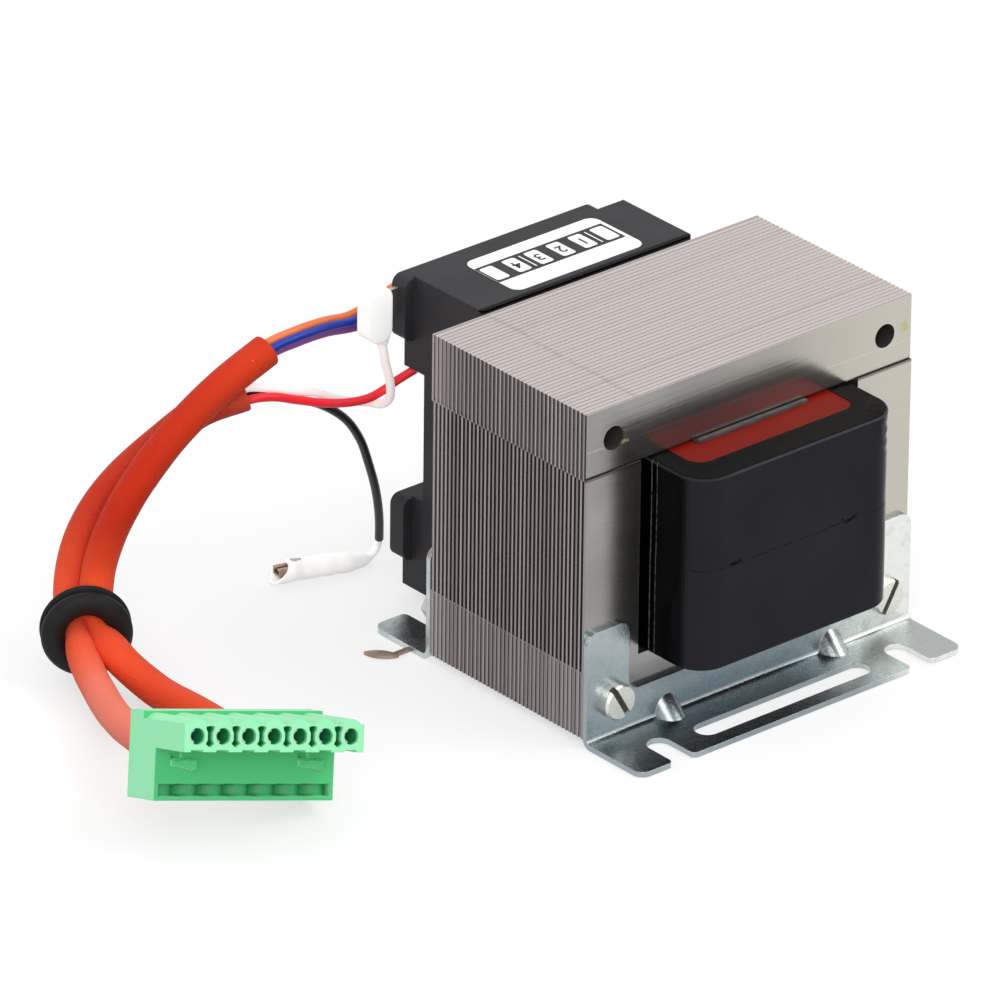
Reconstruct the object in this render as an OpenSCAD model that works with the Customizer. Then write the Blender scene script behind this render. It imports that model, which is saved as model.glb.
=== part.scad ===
// Open-frame mains transformer with a flying lead set.
// Interleaved E-I core, one coil on a moulded former, two folded mounting brackets,
// a terminal housing behind the coil, sleeved leads, a rubber grommet and a 7-pole plug.
// Millimetres, +Z up, -Y is the front face of the core. The origin lies between the feet,
// on the surface that the transformer stands on.

/* [Core] */
// Unit of the scrapless E-I sheet: the width of an outer leg
lam_unit = 12.5; // [10:0.5:16]
// Depth of the stack of sheets
stack_d = 41; // [30:0.5:60]
// Thickness of one sheet with its coating
sheet_t = 0.525; // [0.5:0.025:2]
// Height of the core above the undersides of the feet
core_lift = 1.5; // [0.5:0.1:3]
// Diameter of the four corner holes
core_hole_d = 4.5; // [4.2:0.1:6]
// How far the legs of every second sheet stand back at the sides
leg_step = 0.35; // [0.1:0.05:0.6]
// How far the ends and edges of the I bars stand back
bar_step = 0.12; // [0.05:0.01:0.3]
// How far the front I bar lies behind the face of the front E sheet
front_step = 0.25; // [0.05:0.05:0.4]
// Width of the open seam between the front I bar and its E sheet
front_seam = 0.3; // [0.1:0.05:0.5]

/* [Coil] */
// How far the coil stands out of each face of the core
coil_overhang = 13.5; // [8:0.5:20]
// Room between the coil and the outer legs
coil_side_gap = 1.7; // [0.5:0.1:3]
// Corner radius of the finished coil
coil_corner_r = 6; // [3:0.5:10]
// Wall of the winding former, in its tube and in its cheeks
former_wall = 1.2; // [0.8:0.1:2]
// Clearance between the former and the core
former_gap = 0.15; // [0.05:0.05:0.4]
// Thickness of the insulating wrap round the coil
wrap_t = 0.35; // [0.2:0.05:1]
// Thickness of the wrap's edge where it is folded over the cheeks
lip_t = 0.25; // [0.1:0.05:0.5]
// Width of the folded edge at the sides of the coil
lip_side = 4.8; // [2:0.1:7]
// Width of the folded edge at the front and rear of the coil
lip_front = 6.3; // [3:0.1:9]
// Share of the winding's build that the primary takes
primary_share = 0.45; // [0.3:0.05:0.6]
// Thickness of the insulation between the windings
insulation_t = 0.4; // [0.2:0.1:1]
// Thickness of the strips that wedge the former on the core
wedge_t = 0.8; // [0.5:0.1:1.5]
// How far the strips stand out of the former
wedge_proud = 0.6; // [0.4:0.1:4]

/* [Brackets] */
// Thickness of the bracket sheet
bracket_t = 1; // [0.8:0.1:2]
// Inside radius of the fold
bend_r = 1; // [0.5:0.1:2]
// Reach of the foot from the face of the core
foot_reach = 15.5; // [13:0.5:22]
// Width of each upright ear
ear_w = 9.7; // [8.5:0.1:12]
// Height of the ears above the floor
ear_h = 22; // [14:0.5:30]
// Height of the strip that joins the ears
bridge_h = 8.2; // [6:0.1:11]
// Corner radius of the ears and feet
bracket_corner_r = 2.2; // [1:0.1:4]
// Width of the open notches in the foot
notch_w = 4.7; // [3.5:0.1:6]
// Distance between the two notches
notch_pitch = 55.4; // [52:0.2:60]
// Depth of the notches from the edge of the foot
notch_depth = 8.7; // [5:0.1:10]
// Overall length of the long slot in the foot
slot_l = 39.8; // [20:0.2:46]
// Width of the long slot
slot_w = 4.7; // [2:0.1:5]
// Distance of the slot's centre line from the edge of the foot
slot_setback = 5.5; // [4:0.1:8]
// Distance between the two pressed gussets at the fold
gusset_pitch = 38; // [20:0.5:42]
// Width of a gusset at the fold
gusset_w = 5.6; // [4:0.1:8]
// Height of a gusset on the upright
gusset_h = 3.8; // [3:0.1:6]

/* [Clamp screws] */
// Diameter of the clamp screws
screw_d = 4; // [3:0.1:4]
// Diameter of the slotted heads
head_d = 6.8; // [6:0.1:8.5]
// Height of the slotted heads
head_h = 2.1; // [1.6:0.1:3.5]
// Width of the screwdriver slot
head_slot_w = 1.1; // [0.8:0.1:1.4]
// Turn of the slots from upright
head_slot_turn = 30; // [-45:1:45]
// Width across the flats of the nuts
nut_w = 7; // [6:0.5:8]
// Height of the nuts
nut_h = 3.2; // [2:0.1:4]
// Thickness of the lock washers
washer_t = 0.9; // [0.5:0.1:1.5]
// Outer diameter of the lock washers
washer_d = 7.6; // [7:0.1:9]

/* [Terminal housing] */
// Width of the housing
housing_w = 48.6; // [40:0.2:56]
// Gap between the housing's upper block and the core
housing_core_gap = 2.2; // [1:0.1:5]
// Height of the blocks above their skirts
block_h = 11.8; // [9:0.1:14]
// How far the blocks stand behind the coil
block_reach = 7.2; // [7:0.1:10]
// Height of the skirt below the upper block
skirt_h = 6.4; // [4:0.1:8]
// Clearance between the lower block's skirt and the rear foot
skirt_foot_gap = 1.1; // [0.3:0.1:3]
// How far the skirts stand behind the coil
skirt_reach = 9.4; // [5:0.1:10]
// Thickness of the back wall between the blocks
back_wall = 4; // [2:0.1:5]
// Distance from the upper block down to the lower one
block_pitch = 43; // [38:0.5:44]
// Length of the terminal strips on the blocks
strip_l = 46.4; // [42:0.2:48]
// How far the strips pass the left side of the housing
strip_offset = 2.3; // [1:0.1:5]
// Thickness of the strips
strip_t = 3; // [2:0.1:4]
// How far the strips are let into the blocks
strip_seat = 0.6; // [0.2:0.1:1.5]
// How far the strips reach below the blocks
strip_drop = 0.5; // [0.2:0.1:1]
// How far the strips lie below the tops of the blocks
strip_low = 0.2; // [0.1:0.1:1]
// Corner radius of the strips
strip_corner_r = 1.8; // [0.5:0.1:3]
// Place of the middle of the terminal row, left of the middle of the housing
terminal_shift = 3; // [2.5:0.1:3.5]
// Number of terminals in each strip
terminals = 6; // [4:1:6]
// Distance from one terminal to the next
terminal_pitch = 6.2; // [5.8:0.1:6.4]
// Width of a terminal pocket
pocket_w = 4.8; // [4.5:0.1:5]
// Height of a terminal pocket
pocket_h = 6.6; // [4:0.1:8]
// Width of a terminal tab
tab_w = 4; // [3:0.1:4.2]
// Thickness of a terminal tab
tab_t = 0.8; // [0.5:0.1:1]
// Depth of a pocket behind its opening
pocket_d = 8; // [5:0.1:8.2]
// Length of the tab's root in the plastic
tab_root = 1.6; // [1:0.1:1.8]
// Distance of the tabs' ends from the openings
tab_inset = 1.5; // [0.5:0.1:3]

/* [Push-on terminals] */
// Width of the flag terminal's cover
flag_w = 5.2; // [5:0.1:9]
// Height of the flag terminal's cover
flag_h = 10.6; // [10:0.1:14]
// Thickness of the flag terminal's cover
flag_t = 3.4; // [3.2:0.1:5]
// Gap between the flag terminal's cover and the strip
flag_gap = 2.5; // [0.5:0.1:3]
// Wall of the covers
cover_wall = 0.6; // [0.4:0.05:0.8]
// Width of the side tab
side_tab_w = 5; // [4:0.1:6]

/* [Leads] */
// Diameter of the single leads
lead_d = 1.6; // [1.2:0.1:1.6]
// Diameter of the upper sleeve
sleeve_upper_d = 6; // [4:0.1:6]
// Diameter of the lower sleeve
sleeve_lower_d = 5.8; // [4:0.1:5.8]
// Outer diameter of the grommet
grommet_d = 16.2; // [15:0.1:17]
// Diameter of the grommet's hole
grommet_hole_d = 10.6; // [10.4:0.1:11.2]
// Thickness of the grommet
grommet_t = 4.8; // [4.4:0.1:5.2]
// Width of the grommet's groove
grommet_groove_w = 0.8; // [0.6:0.1:1.2]
// Depth of the grommet's groove
grommet_groove_d = 1.2; // [0.5:0.1:1.6]
// Thickness of the grommet's rear lip
grommet_rear_t = 1.1; // [0.8:0.1:1.4]

/* [Plug] */
// Number of poles
poles = 7; // [7:1:8]
// Distance from one pole to the next
pole_pitch = 5.08; // [5:0.01:5.2]
// Overall depth of the plug
plug_d = 18.2; // [16:0.1:20]
// Overall height of the plug
plug_h = 15; // [14:0.1:16]
// Depth of the plug's lower part
plug_base_d = 8.8; // [8:0.1:10]
// Height of the nose's underside
nose_z = 9.2; // [8.5:0.1:9.6]
// Step between the nose and the top of the plug
nose_step = 0.8; // [0.3:0.1:1.2]
// Diameter of the contact openings
contact_hole_d = 3.4; // [3:0.1:3.6]
// Depth of the contact openings
contact_hole_depth = 7; // [5:0.1:8]
// Width of the neck of the coding slots
coding_neck_w = 0.7; // [0.4:0.1:0.9]
// Depth of the coding slots
coding_depth = 3; // [1:0.1:5]
// Diameter of the wire openings
wire_hole_d = 3.2; // [2.5:0.1:3.6]
// Height of the wire openings
wire_hole_z = 6.5; // [5.5:0.1:6.8]
// Diameter of the clamp screws' openings
clamp_hole_d = 3.6; // [3:0.1:3.8]

/* [Hidden] */
$fn = 48;
// Past this much a cutting tool reaches beyond the faces that it cuts
eps = 0.5;
// Running clearance between parts that are slid together
fit = 0.1;
// Clearance between two sheets of the core
sheet_fit = 0.02;

// The scrapless E-I set: every length is a multiple of the unit
core_w = 6 * lam_unit;
core_h = 5 * lam_unit;
window_h = 3 * lam_unit;
centre_leg_w = 2 * lam_unit;
core_top = core_lift + core_h;
window_z0 = core_lift + lam_unit;
window_z1 = core_top - lam_unit;
hole_inset = lam_unit / 2;
hole_x = core_w / 2 - hole_inset;
hole_z_low = core_lift + hole_inset;
hole_z_high = core_top - hole_inset;
core_face = stack_d / 2;
sheet_pairs = round(stack_d / sheet_t / 2);
layer_t = stack_d / (2 * sheet_pairs);

// Half sizes of the coil's layers, from the core outwards
tube_in = [centre_leg_w / 2 + former_gap, core_face + wedge_t + former_gap];
tube_out = tube_in + [former_wall, former_wall];
coil_half = [lam_unit * 2 - coil_side_gap, core_face + coil_overhang];
wrap_in = coil_half - [wrap_t, wrap_t];
cheek_half = wrap_in - [fit / 2, fit / 2];
build = wrap_in - tube_out - [3 * fit, 3 * fit];
primary_in = tube_out + [fit, fit];
primary_out = primary_in + build * primary_share;
insulation_out = primary_out + [insulation_t, insulation_t];
secondary_in = insulation_out + [fit, fit];
secondary_out = wrap_in - [fit, fit];
lip_in = coil_half - [lip_side, lip_front];
former_z0 = window_z0 + fit + lip_t;
former_z1 = window_z1 - fit - lip_t;
coil_z0 = former_z0 - lip_t;
coil_z1 = former_z1 + lip_t;
winding_z0 = former_z0 + former_wall + fit;
winding_z1 = former_z1 - former_wall - fit;

// Brackets: the foot's edge and the fold
foot_edge = core_face + foot_reach;
upright_face = core_face + bracket_t;
notch_end = foot_edge - notch_depth;
slot_y = foot_edge - slot_setback;
ear_x = core_w / 2 - ear_w;
nut_face = upright_face + washer_t;

// Terminal housing: it clips on the rear of the coil
housing_front = coil_half[1] + fit;
block_front = core_face + housing_core_gap;
block_back = housing_front + block_reach;
strip_back = block_back + strip_t;
strip_front = block_back - strip_seat;
strip_h = block_h + strip_drop - strip_low;
skirt_back = housing_front + skirt_reach;
wall_back = housing_front + back_wall;
block_z0 = coil_z1 + fit;
block_z1 = block_z0 + block_h;
skirt_z0 = block_z0 - skirt_h;
lower_z0 = block_z0 - block_pitch;
lower_skirt_z0 = bracket_t + skirt_foot_gap;
strip_x0 = -housing_w / 2 - strip_offset;
terminal_x0 = -terminal_shift - terminal_pitch * (terminals - 1) / 2;
terminal_z = block_z0 + block_h / 2;
pocket_y = strip_back - pocket_d;
tab_end = strip_back - tab_inset;
flag_x1 = strip_x0 - flag_gap;
flag_x0 = flag_x1 - flag_w;
flag_y = block_back + strip_t / 2;
flag_rise = 1;
flag_z0 = block_z0 + flag_rise;
flag_corner_r = 2.4;
flag_stem_inset = 0.9;
flag_stem_drop = 1.1;
flag_stem_x = flag_x1 - flag_stem_inset;
flag_stem_z = flag_z0 - flag_stem_drop;
side_tab_share = 0.6;
side_tab_z = flag_z0 + flag_h * side_tab_share;
// Sheet of the rolled push-on terminals
receptacle_t = 0.35;

// Routes of the cords: points along their middles, from the transformer outwards
orange_route = [[-6.1, 42.9, 57.5], [-6.1, 47, 57.6], [-9, 51, 57.4], [-15, 52.6, 56.2],
  [-22, 52.5, 54.6], [-30.2, 51.6, 53.5], [-36.5, 51.3, 54.4], [-43.2, 51, 54.7], [-49.8, 50.9, 54.2]];
blue_route = [[-12.3, 42.9, 57.5], [-12.3, 46.8, 57.2], [-15.2, 50, 56.2], [-22, 50.8, 53.7],
  [-30.2, 50, 53.1], [-36.5, 49.7, 54], [-43.2, 49.4, 54.3], [-49.9, 49.3, 53.8]];
violet_route = [[-18.5, 43.1, 57.4], [-18.5, 45.4, 56.8], [-20.2, 48, 54.6], [-24.2, 49.9, 51.6],
  [-30.2, 50.8, 51.4], [-36.5, 50.5, 52.5], [-43.2, 50.2, 52.8], [-49.2, 50.1, 52.4]];
red_route = [[-23.1, 41.9, 44.5], [-24.3, 42.7, 43.6], [-26, 43.9, 42.2], [-27.9, 44.8, 40.8],
  [-30.6, 45.4, 39.9], [-34.1, 46.5, 39.7], [-38.6, 48, 40.4], [-43.6, 49.4, 42],
  [-48.7, 50.4, 43.8], [-52.8, 51.2, 44.3]];
white_route = [[-30, 42.8, 51.2], [-29.5, 42.4, 47.4], [-28.8, 42, 43.6], [-28.2, 42.9, 39.9],
  [-28.2, 45.2, 38], [-29.3, 47.6, 37.8], [-31.8, 49, 38.3], [-35.5, 49.6, 39.8],
  [-38.5, 50, 41.6], [-44.2, 50.8, 43.5], [-49.1, 51.5, 45.3], [-52.7, 52, 46.3]];
black_route = [[-51.8, 53.2, 44.4], [-48.5, 52.6, 43.5], [-43.5, 51.5, 41.5], [-38, 50.4, 39.1],
  [-32.7, 49.8, 34.9], [-28.7, 50.4, 29.5], [-25.6, 51.4, 22.9], [-22.7, 52.8, 15.9],
  [-20.6, 54.4, 9.5], [-19.2, 56, 4.3]];
sleeve_upper_route = [[-50, 50.1, 53.6], [-59.8, 50.6, 49.4], [-66.9, 52.6, 43.4], [-72.7, 54.8, 36.3],
  [-76.9, 56.6, 29.3], [-79.3, 58.3, 22.5], [-81, 58.6, 17.3], [-83.2, 56.7, 13.5], [-85.7, 52.3, 9.5],
  [-86.9, 45.8, 7.1], [-85.6, 38.4, 3.9], [-86, 25, 4.2], [-90.5, -0.2, 7.6]];
sleeve_lower_route = [[-53.2, 52.1, 45.1], [-60.2, 55.6, 42.9], [-66, 60, 37], [-72.6, 63.3, 30.6],
  [-77.7, 65, 24.1], [-80.7, 65.2, 18.7], [-82.9, 64.2, 13.9], [-85.3, 61.4, 10.5], [-88.8, 55.3, 8.9],
  [-91.4, 49.6, 6.2], [-95.6, 39.5, 4.6], [-102, 26, 7], [-109.6, 3.7, 12.2]];
loose_cover_route = [[-19.2, 56.1, 4], [-19.5, 56.7, 2.4], [-21, 57, 1.6], [-23.6, 56.9, 1.8],
  [-26, 57, 2.3], [-29.5, 58, 2.5], [-34, 59.2, 2.5], [-37.5, 59.9, 2.5], [-40, 60.3, 2.5]];
// Half widths of the loose cover at its points, as shares of its fullest half width
loose_cover_shape = [0.38, 0.38, 0.42, 0.6, 0.88, 1, 0.96, 0.92, 0.92];
loose_cover_r = 2.45;
// Where both sleeves pass the grommet they are squeezed to this share of their size
grommet_squeeze = 0.65;
grommet_at = [-87.2, 53.8, 9.3];
grommet_axis = [-0.5, -0.84, -0.2];
grommet_ring = 8;
plug_at = [-103, -0.7, 4.4];
plug_turn = [-20, 14, -11.5];
plug_l = poles * pole_pitch;
nose_h = plug_h - nose_step - nose_z;
contact_z = nose_z + nose_h / 2;

function unit(v) = v / norm(v);

// Direction of a route at its point i, from its neighbours
function heading(p, i) = unit(p[min(i + 1, len(p) - 1)] - p[max(i - 1, 0)]);

// A ring of n points round c, square to the direction t
function ring(c, t, side, r, n) =
  let (a = unit(cross(t, side)), b = cross(t, a))
  [for (k = [0:n - 1]) c + r * (cos(360 * k / n) * a + sin(360 * k / n) * b)];

// A round tube along a route; r holds the radius at each of its points
module tube(route, r, n, side) {
  last = len(route) - 1;
  points = [for (i = [0:last]) each ring(route[i], heading(route, i), side, r[i], n)];
  walls = [for (i = [0:last - 1], k = [0:n - 1])
    let (a = i * n, b = a + n, next = (k + 1) % n)
    each [[a + k, b + k, b + next], [a + k, b + next, a + next]]];
  caps = [[for (k = [0:n - 1]) k], [for (k = [n - 1:-1:0]) last * n + k]];
  polyhedron(points = points, faces = concat(walls, caps), convexity = 6);
}

// A single lead: eight sides, one radius
module lead(route, side) {
  tube(route, [for (p = route) lead_d / 2], 8, side);
}

// A sleeve: twelve sides, squeezed at the ring that passes the grommet
module sleeve(route, d) {
  radii = [for (i = [0:len(route) - 1]) d / 2 * (i == grommet_ring ? grommet_squeeze : 1)];
  tube(route, radii, 12, [1, -1, 0]);
}

// A rectangle with round corners, given by its half sizes
module round_rect(half, r) {
  square([2 * (half[0] - r), 2 * half[1]], center = true);
  square([2 * half[0], 2 * (half[1] - r)], center = true);
  for (sx = [-1, 1], sy = [-1, 1])
    translate([sx * (half[0] - r), sy * (half[1] - r)])
      circle(r);
}

// A ring between two rounded rectangles
module round_frame(outer, outer_r, inner, inner_r) {
  difference() {
    round_rect(outer, outer_r);
    round_rect(inner, inner_r);
  }
}

// What is left over outside a round corner that points to +X +Y
module corner_waste(r) {
  difference() {
    translate([-r, -r])
      square(r + eps);
    translate([-r, -r])
      circle(r);
  }
}

// Stands a drawing made in X and Y upright in X and Z, from y0 to y1
module upright(y0, y1) {
  translate([0, y1, 0])
    rotate([90, 0, 0])
      linear_extrude(y1 - y0)
        children();
}

// Front of layer i of the stack; even layers have their E open at the top
function layer_y(i) = -core_face + i * layer_t;

module core_holes(zs) {
  for (x = [-hole_x, hole_x], z = zs)
    translate([x, z])
      circle(d = core_hole_d);
}

// Both stacks of E sheets, interleaved: they hold together at their three legs
module e_laminations() {
  color("#8d8482")
    difference() {
      upright(-core_face, core_face)
        difference() {
          translate([-core_w / 2, core_lift])
            square([core_w, core_h]);
          for (s = [-1, 1])
            translate([s * 1.5 * lam_unit - lam_unit / 2, window_z0])
              square([lam_unit, window_h]);
          core_holes([hole_z_low, hole_z_high]);
        }
      for (i = [0:2:2 * sheet_pairs - 1])
        translate([-core_w / 2 - eps, layer_y(i), window_z1])
          cube([core_w + 2 * eps, layer_t, lam_unit + eps]);
      for (i = [1:2:2 * sheet_pairs - 1])
        translate([-core_w / 2 - eps, layer_y(i), core_lift - eps])
          cube([core_w + 2 * eps, layer_t, lam_unit + eps]);
      for (i = [1:2:2 * sheet_pairs - 1], s = [-1, 1])
        translate([s * core_w / 2 - leg_step, layer_y(i), window_z0 + leg_step])
          cube([2 * leg_step, layer_t, window_h - 2 * leg_step]);
    }
}

// One I bar, closing the E of its own layer
module i_bar(i, z0) {
  step = i == 0 ? front_step : sheet_fit;
  seam = i == 0 ? front_seam : bar_step / 2;
  upright(layer_y(i) + step, layer_y(i + 1) - sheet_fit)
    difference() {
      translate([-core_w / 2 + bar_step, z0 + seam])
        square([core_w - 2 * bar_step, lam_unit - seam - bar_step / 2]);
      core_holes([z0 + hole_inset]);
    }
}

module i_bars_top() {
  color("#a79d99")
    for (i = [0:2:2 * sheet_pairs - 1])
      i_bar(i, window_z1);
}

module i_bars_bottom() {
  color("#a79d99")
    for (i = [1:2:2 * sheet_pairs - 1])
      i_bar(i, core_lift);
}

// Strips driven between the centre leg and the former, front and rear
module core_wedges() {
  color("#6f6b6a")
    for (s = [-1, 1])
      translate([-centre_leg_w / 2, s * (core_face + wedge_t / 2) - wedge_t / 2, former_z0])
        cube([centre_leg_w, wedge_t, former_z1 - former_z0 + (s < 0 ? wedge_proud : 0)]);
}

// Moulded former: a square tube round the centre leg with a cheek at each end
module winding_former() {
  color("#c22b1f") {
    translate([0, 0, former_z0])
      linear_extrude(former_z1 - former_z0)
        round_frame(tube_out, former_wall, tube_in, former_gap);
    for (z = [former_z0, former_z1 - former_wall])
      translate([0, 0, z])
        linear_extrude(former_wall)
          round_frame(cheek_half, coil_corner_r - wrap_t, tube_in, former_gap);
  }
}

// One layer of the coil between the former's cheeks
module coil_layer(outer, outer_r, inner, inner_r) {
  translate([0, 0, winding_z0])
    linear_extrude(winding_z1 - winding_z0)
      round_frame(outer, outer_r, inner, inner_r);
}

module primary_winding() {
  color("#b06a32")
    coil_layer(primary_out, coil_corner_r / 2, primary_in, former_wall);
}

module winding_insulation() {
  color("#d9c27a")
    coil_layer(insulation_out, coil_corner_r / 2, primary_out + [fit / 2, fit / 2], coil_corner_r / 2);
}

module secondary_winding() {
  color("#b87333")
    coil_layer(secondary_out, coil_corner_r - wrap_t, secondary_in, coil_corner_r / 2);
}

// Wrap of black film round the coil, folded over both cheeks
module coil_wrap() {
  color("#1b1b1e") {
    translate([0, 0, coil_z0])
      linear_extrude(coil_z1 - coil_z0)
        round_frame(coil_half, coil_corner_r, wrap_in, coil_corner_r - wrap_t);
    for (z = [coil_z0, former_z1])
      translate([0, 0, z])
        linear_extrude(lip_t)
          round_frame(coil_half, coil_corner_r, lip_in, coil_corner_r / 2);
  }
}

// The bracket's section: upright, fold and foot, drawn with its depth to +X and its height to +Y
module bracket_section() {
  bend_out = bend_r + bracket_t;
  translate([0, bend_out])
    square([bracket_t, ear_h - bend_out]);
  translate([bend_out, 0])
    square([foot_reach - bend_out, bracket_t]);
  intersection() {
    translate([bend_out, bend_out])
      difference() {
        circle(bend_out);
        circle(bend_r);
      }
    square(bend_out);
  }
}

// Opening between the ears, with round inner corners
module bracket_gap() {
  translate([-ear_x, bridge_h])
    difference() {
      square([2 * ear_x, ear_h]);
      for (s = [0, 1])
        translate([s * 2 * ear_x, 0])
          mirror([1 - s, 0])
            mirror([0, 1])
              corner_waste(bracket_corner_r);
    }
}

// Notches, slot and round corners of the foot, seen from above with its edge at +Y
module foot_cuts() {
  for (s = [-1, 1]) {
    translate([s * notch_pitch / 2, notch_end + notch_w / 2])
      circle(d = notch_w);
    translate([s * notch_pitch / 2 - notch_w / 2, notch_end + notch_w / 2])
      square([notch_w, notch_depth]);
    translate([s * (slot_l - slot_w) / 2, slot_y])
      circle(d = slot_w);
    translate([s * core_w / 2, foot_edge])
      mirror([s < 0 ? 1 : 0, 0])
        corner_waste(bracket_corner_r);
    for (side = [-1, 1])
      translate([s * notch_pitch / 2 + side * notch_w / 2, foot_edge])
        mirror([side > 0 ? 1 : 0, 0])
          corner_waste(bracket_corner_r / 2);
  }
  translate([-(slot_l - slot_w) / 2, slot_y - slot_w / 2])
    square([slot_l - slot_w, slot_w]);
}

// Pressed gusset: a round ridge that runs down across the inside of the fold
module gusset() {
  ridge_r = gusset_w / 2;
  axis_out = gusset_h / 2 - ridge_r / sqrt(2);
  seat = bracket_t / 4;
  intersection() {
    translate([0, upright_face + axis_out, bracket_t + axis_out])
      rotate([45, 0, 0])
        cylinder(r = ridge_r, h = 4 * gusset_h, center = true);
    translate([-gusset_w, upright_face - seat, bracket_t - seat])
      cube([2 * gusset_w, 2 * gusset_h, 2 * gusset_h]);
  }
}

// One folded bracket, on the rear face of the core
module bracket() {
  difference() {
    translate([-core_w / 2, core_face, 0])
      rotate([90, 0, 90])
        linear_extrude(core_w)
          bracket_section();
    upright(core_face - eps, upright_face + eps) {
      bracket_gap();
      core_holes([hole_z_low]);
      for (s = [-1, 1], side = [-1, 1])
        translate([s * (core_w / 2 - ear_w / 2) + side * ear_w / 2, ear_h])
          mirror([side < 0 ? 1 : 0, 0])
            corner_waste(bracket_corner_r);
    }
    translate([0, 0, -eps])
      linear_extrude(bracket_t + 2 * eps)
        foot_cuts();
  }
  for (s = [-1, 1])
    translate([s * gusset_pitch / 2, 0, 0])
      gusset();
}

module rear_bracket() {
  color("#a9b0b4")
    bracket();
}

module front_bracket() {
  color("#b9c0c3")
    rotate([0, 0, 180])
      bracket();
}

// Slotted cheese-head screws through both brackets and the core
module clamp_screws() {
  head_edge = 0.4;
  color("#b8bcae")
    for (s = [-1, 1])
      translate([s * hole_x, -upright_face, hole_z_low])
        rotate([90, 0, 0])
          difference() {
            union() {
              cylinder(d = head_d, h = head_h - head_edge);
              translate([0, 0, head_h - head_edge])
                cylinder(d1 = head_d, d2 = head_d - 2 * head_edge, h = head_edge);
              translate([0, 0, -(2 * upright_face + washer_t + nut_h + screw_d / 4)])
                cylinder(d = screw_d, h = 2 * upright_face + washer_t + nut_h + screw_d / 4);
            }
            rotate([0, 0, -s * head_slot_turn])
              translate([-head_slot_w / 2, -head_d, head_h * 0.5])
                cube([head_slot_w, 2 * head_d, head_h]);
          }
}

module lock_washers() {
  color("#9ea3a6")
    for (s = [-1, 1])
      upright(upright_face, nut_face)
        translate([s * hole_x, hole_z_low])
          difference() {
            circle(d = washer_d);
            circle(d = screw_d + 2 * fit);
          }
}

module clamp_nuts() {
  color("#b4b8b0")
    for (s = [-1, 1])
      upright(nut_face, nut_face + nut_h)
        translate([s * hole_x, hole_z_low])
          difference() {
            circle(d = nut_w / cos(30), $fn = 6);
            circle(d = screw_d + 2 * fit);
          }
}

// Leaf-shaped earth tag lying at the end of the rear foot
module earth_tag() {
  tag_t = 0.6;
  leaf_r = 5;
  leaf_half_w = 1.1;
  leaf_out = 5.1;
  leaf_back = 7;
  leaf_turn = 50;
  leaf_at = [-core_w / 2 - leaf_out, core_face + leaf_back];
  tail_w = 0.9;
  leaf_half_l = sqrt(leaf_r * leaf_r - (leaf_r - leaf_half_w) * (leaf_r - leaf_half_w));
  color("#8f7a6a")
    linear_extrude(tag_t) {
      translate(leaf_at)
        rotate(-leaf_turn)
          intersection_for (s = [-1, 1])
            translate([0, s * (leaf_r - leaf_half_w)])
              circle(leaf_r);
      translate(leaf_at + [leaf_half_l * cos(leaf_turn) - tail_w, -leaf_half_l * sin(leaf_turn) + tail_w / 2])
        square([leaf_out - leaf_half_l * cos(leaf_turn) + tail_w, tail_w]);
    }
}

// Side view of the terminal housing, with its depth to +X and its height to +Y
module housing_section() {
  polygon([
    [block_front, block_z0], [block_front, block_z1], [block_back, block_z1],
    [block_back, block_z0], [skirt_back, block_z0], [skirt_back, skirt_z0],
    [wall_back, skirt_z0], [wall_back, lower_z0 + block_h], [block_back, lower_z0 + block_h],
    [block_back, lower_z0], [skirt_back, lower_z0], [skirt_back, lower_skirt_z0],
    [housing_front, lower_skirt_z0], [housing_front, block_z0]]);
}

// A terminal's place i in the row
function terminal_x(i) = terminal_x0 + i * terminal_pitch;

// Blade of terminal i, in the strip that stands dz from the upper one
module tab(i, dz) {
  translate([terminal_x(i) - tab_w / 2, pocket_y - tab_root, terminal_z - tab_t / 2 + dz])
    cube([tab_w, tab_end - pocket_y + tab_root, tab_t]);
}

// Blade at the left end of the upper strip, standing on edge
module side_blade() {
  translate([flag_x0 + 2 * cover_wall, flag_y - tab_t / 2, side_tab_z - side_tab_w / 2])
    cube([strip_x0 + tab_root - flag_x0 - 2 * cover_wall, tab_t, side_tab_w]);
}

// Plan of the housing, with the round corners of the upper block's front
module housing_plan() {
  edge_r = 0.8;
  translate([-housing_w / 2, block_front + edge_r])
    square([housing_w, skirt_back - block_front]);
  translate([-housing_w / 2 + edge_r, block_front])
    square([housing_w - 2 * edge_r, 2 * edge_r]);
  for (s = [-1, 1])
    translate([s * (housing_w / 2 - edge_r), block_front + edge_r])
      circle(edge_r);
}

// Moulded housing: two terminal blocks with their strips and skirts on one back wall
module terminal_housing() {
  color("#26262a")
    difference() {
      union() {
        intersection() {
          translate([-housing_w / 2 - eps, 0, 0])
            rotate([90, 0, 90])
              linear_extrude(housing_w + 2 * eps)
                housing_section();
          translate([0, 0, lower_skirt_z0 - eps])
            linear_extrude(block_z1 - lower_skirt_z0 + 2 * eps)
              housing_plan();
        }
        for (dz = [0, -block_pitch])
          upright(strip_front, strip_back)
            translate([strip_x0 + strip_l / 2, block_z0 - strip_drop + strip_h / 2 + dz])
              round_rect([strip_l / 2, strip_h / 2], strip_corner_r);
      }
      for (dz = [0, -block_pitch], i = [0:terminals - 1]) {
        translate([terminal_x(i) - pocket_w / 2, pocket_y, terminal_z - pocket_h / 2 + dz])
          cube([pocket_w, pocket_d + eps, pocket_h]);
        tab(i, dz);
      }
      side_blade();
    }
}

module upper_tabs() {
  color("#c9c6ba")
    for (i = [0:terminals - 1])
      tab(i, 0);
}

module lower_tabs() {
  color("#c9c6ba")
    for (i = [0:terminals - 1])
      tab(i, -block_pitch);
}

module side_tab() {
  color("#c9c6ba")
    side_blade();
}

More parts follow.
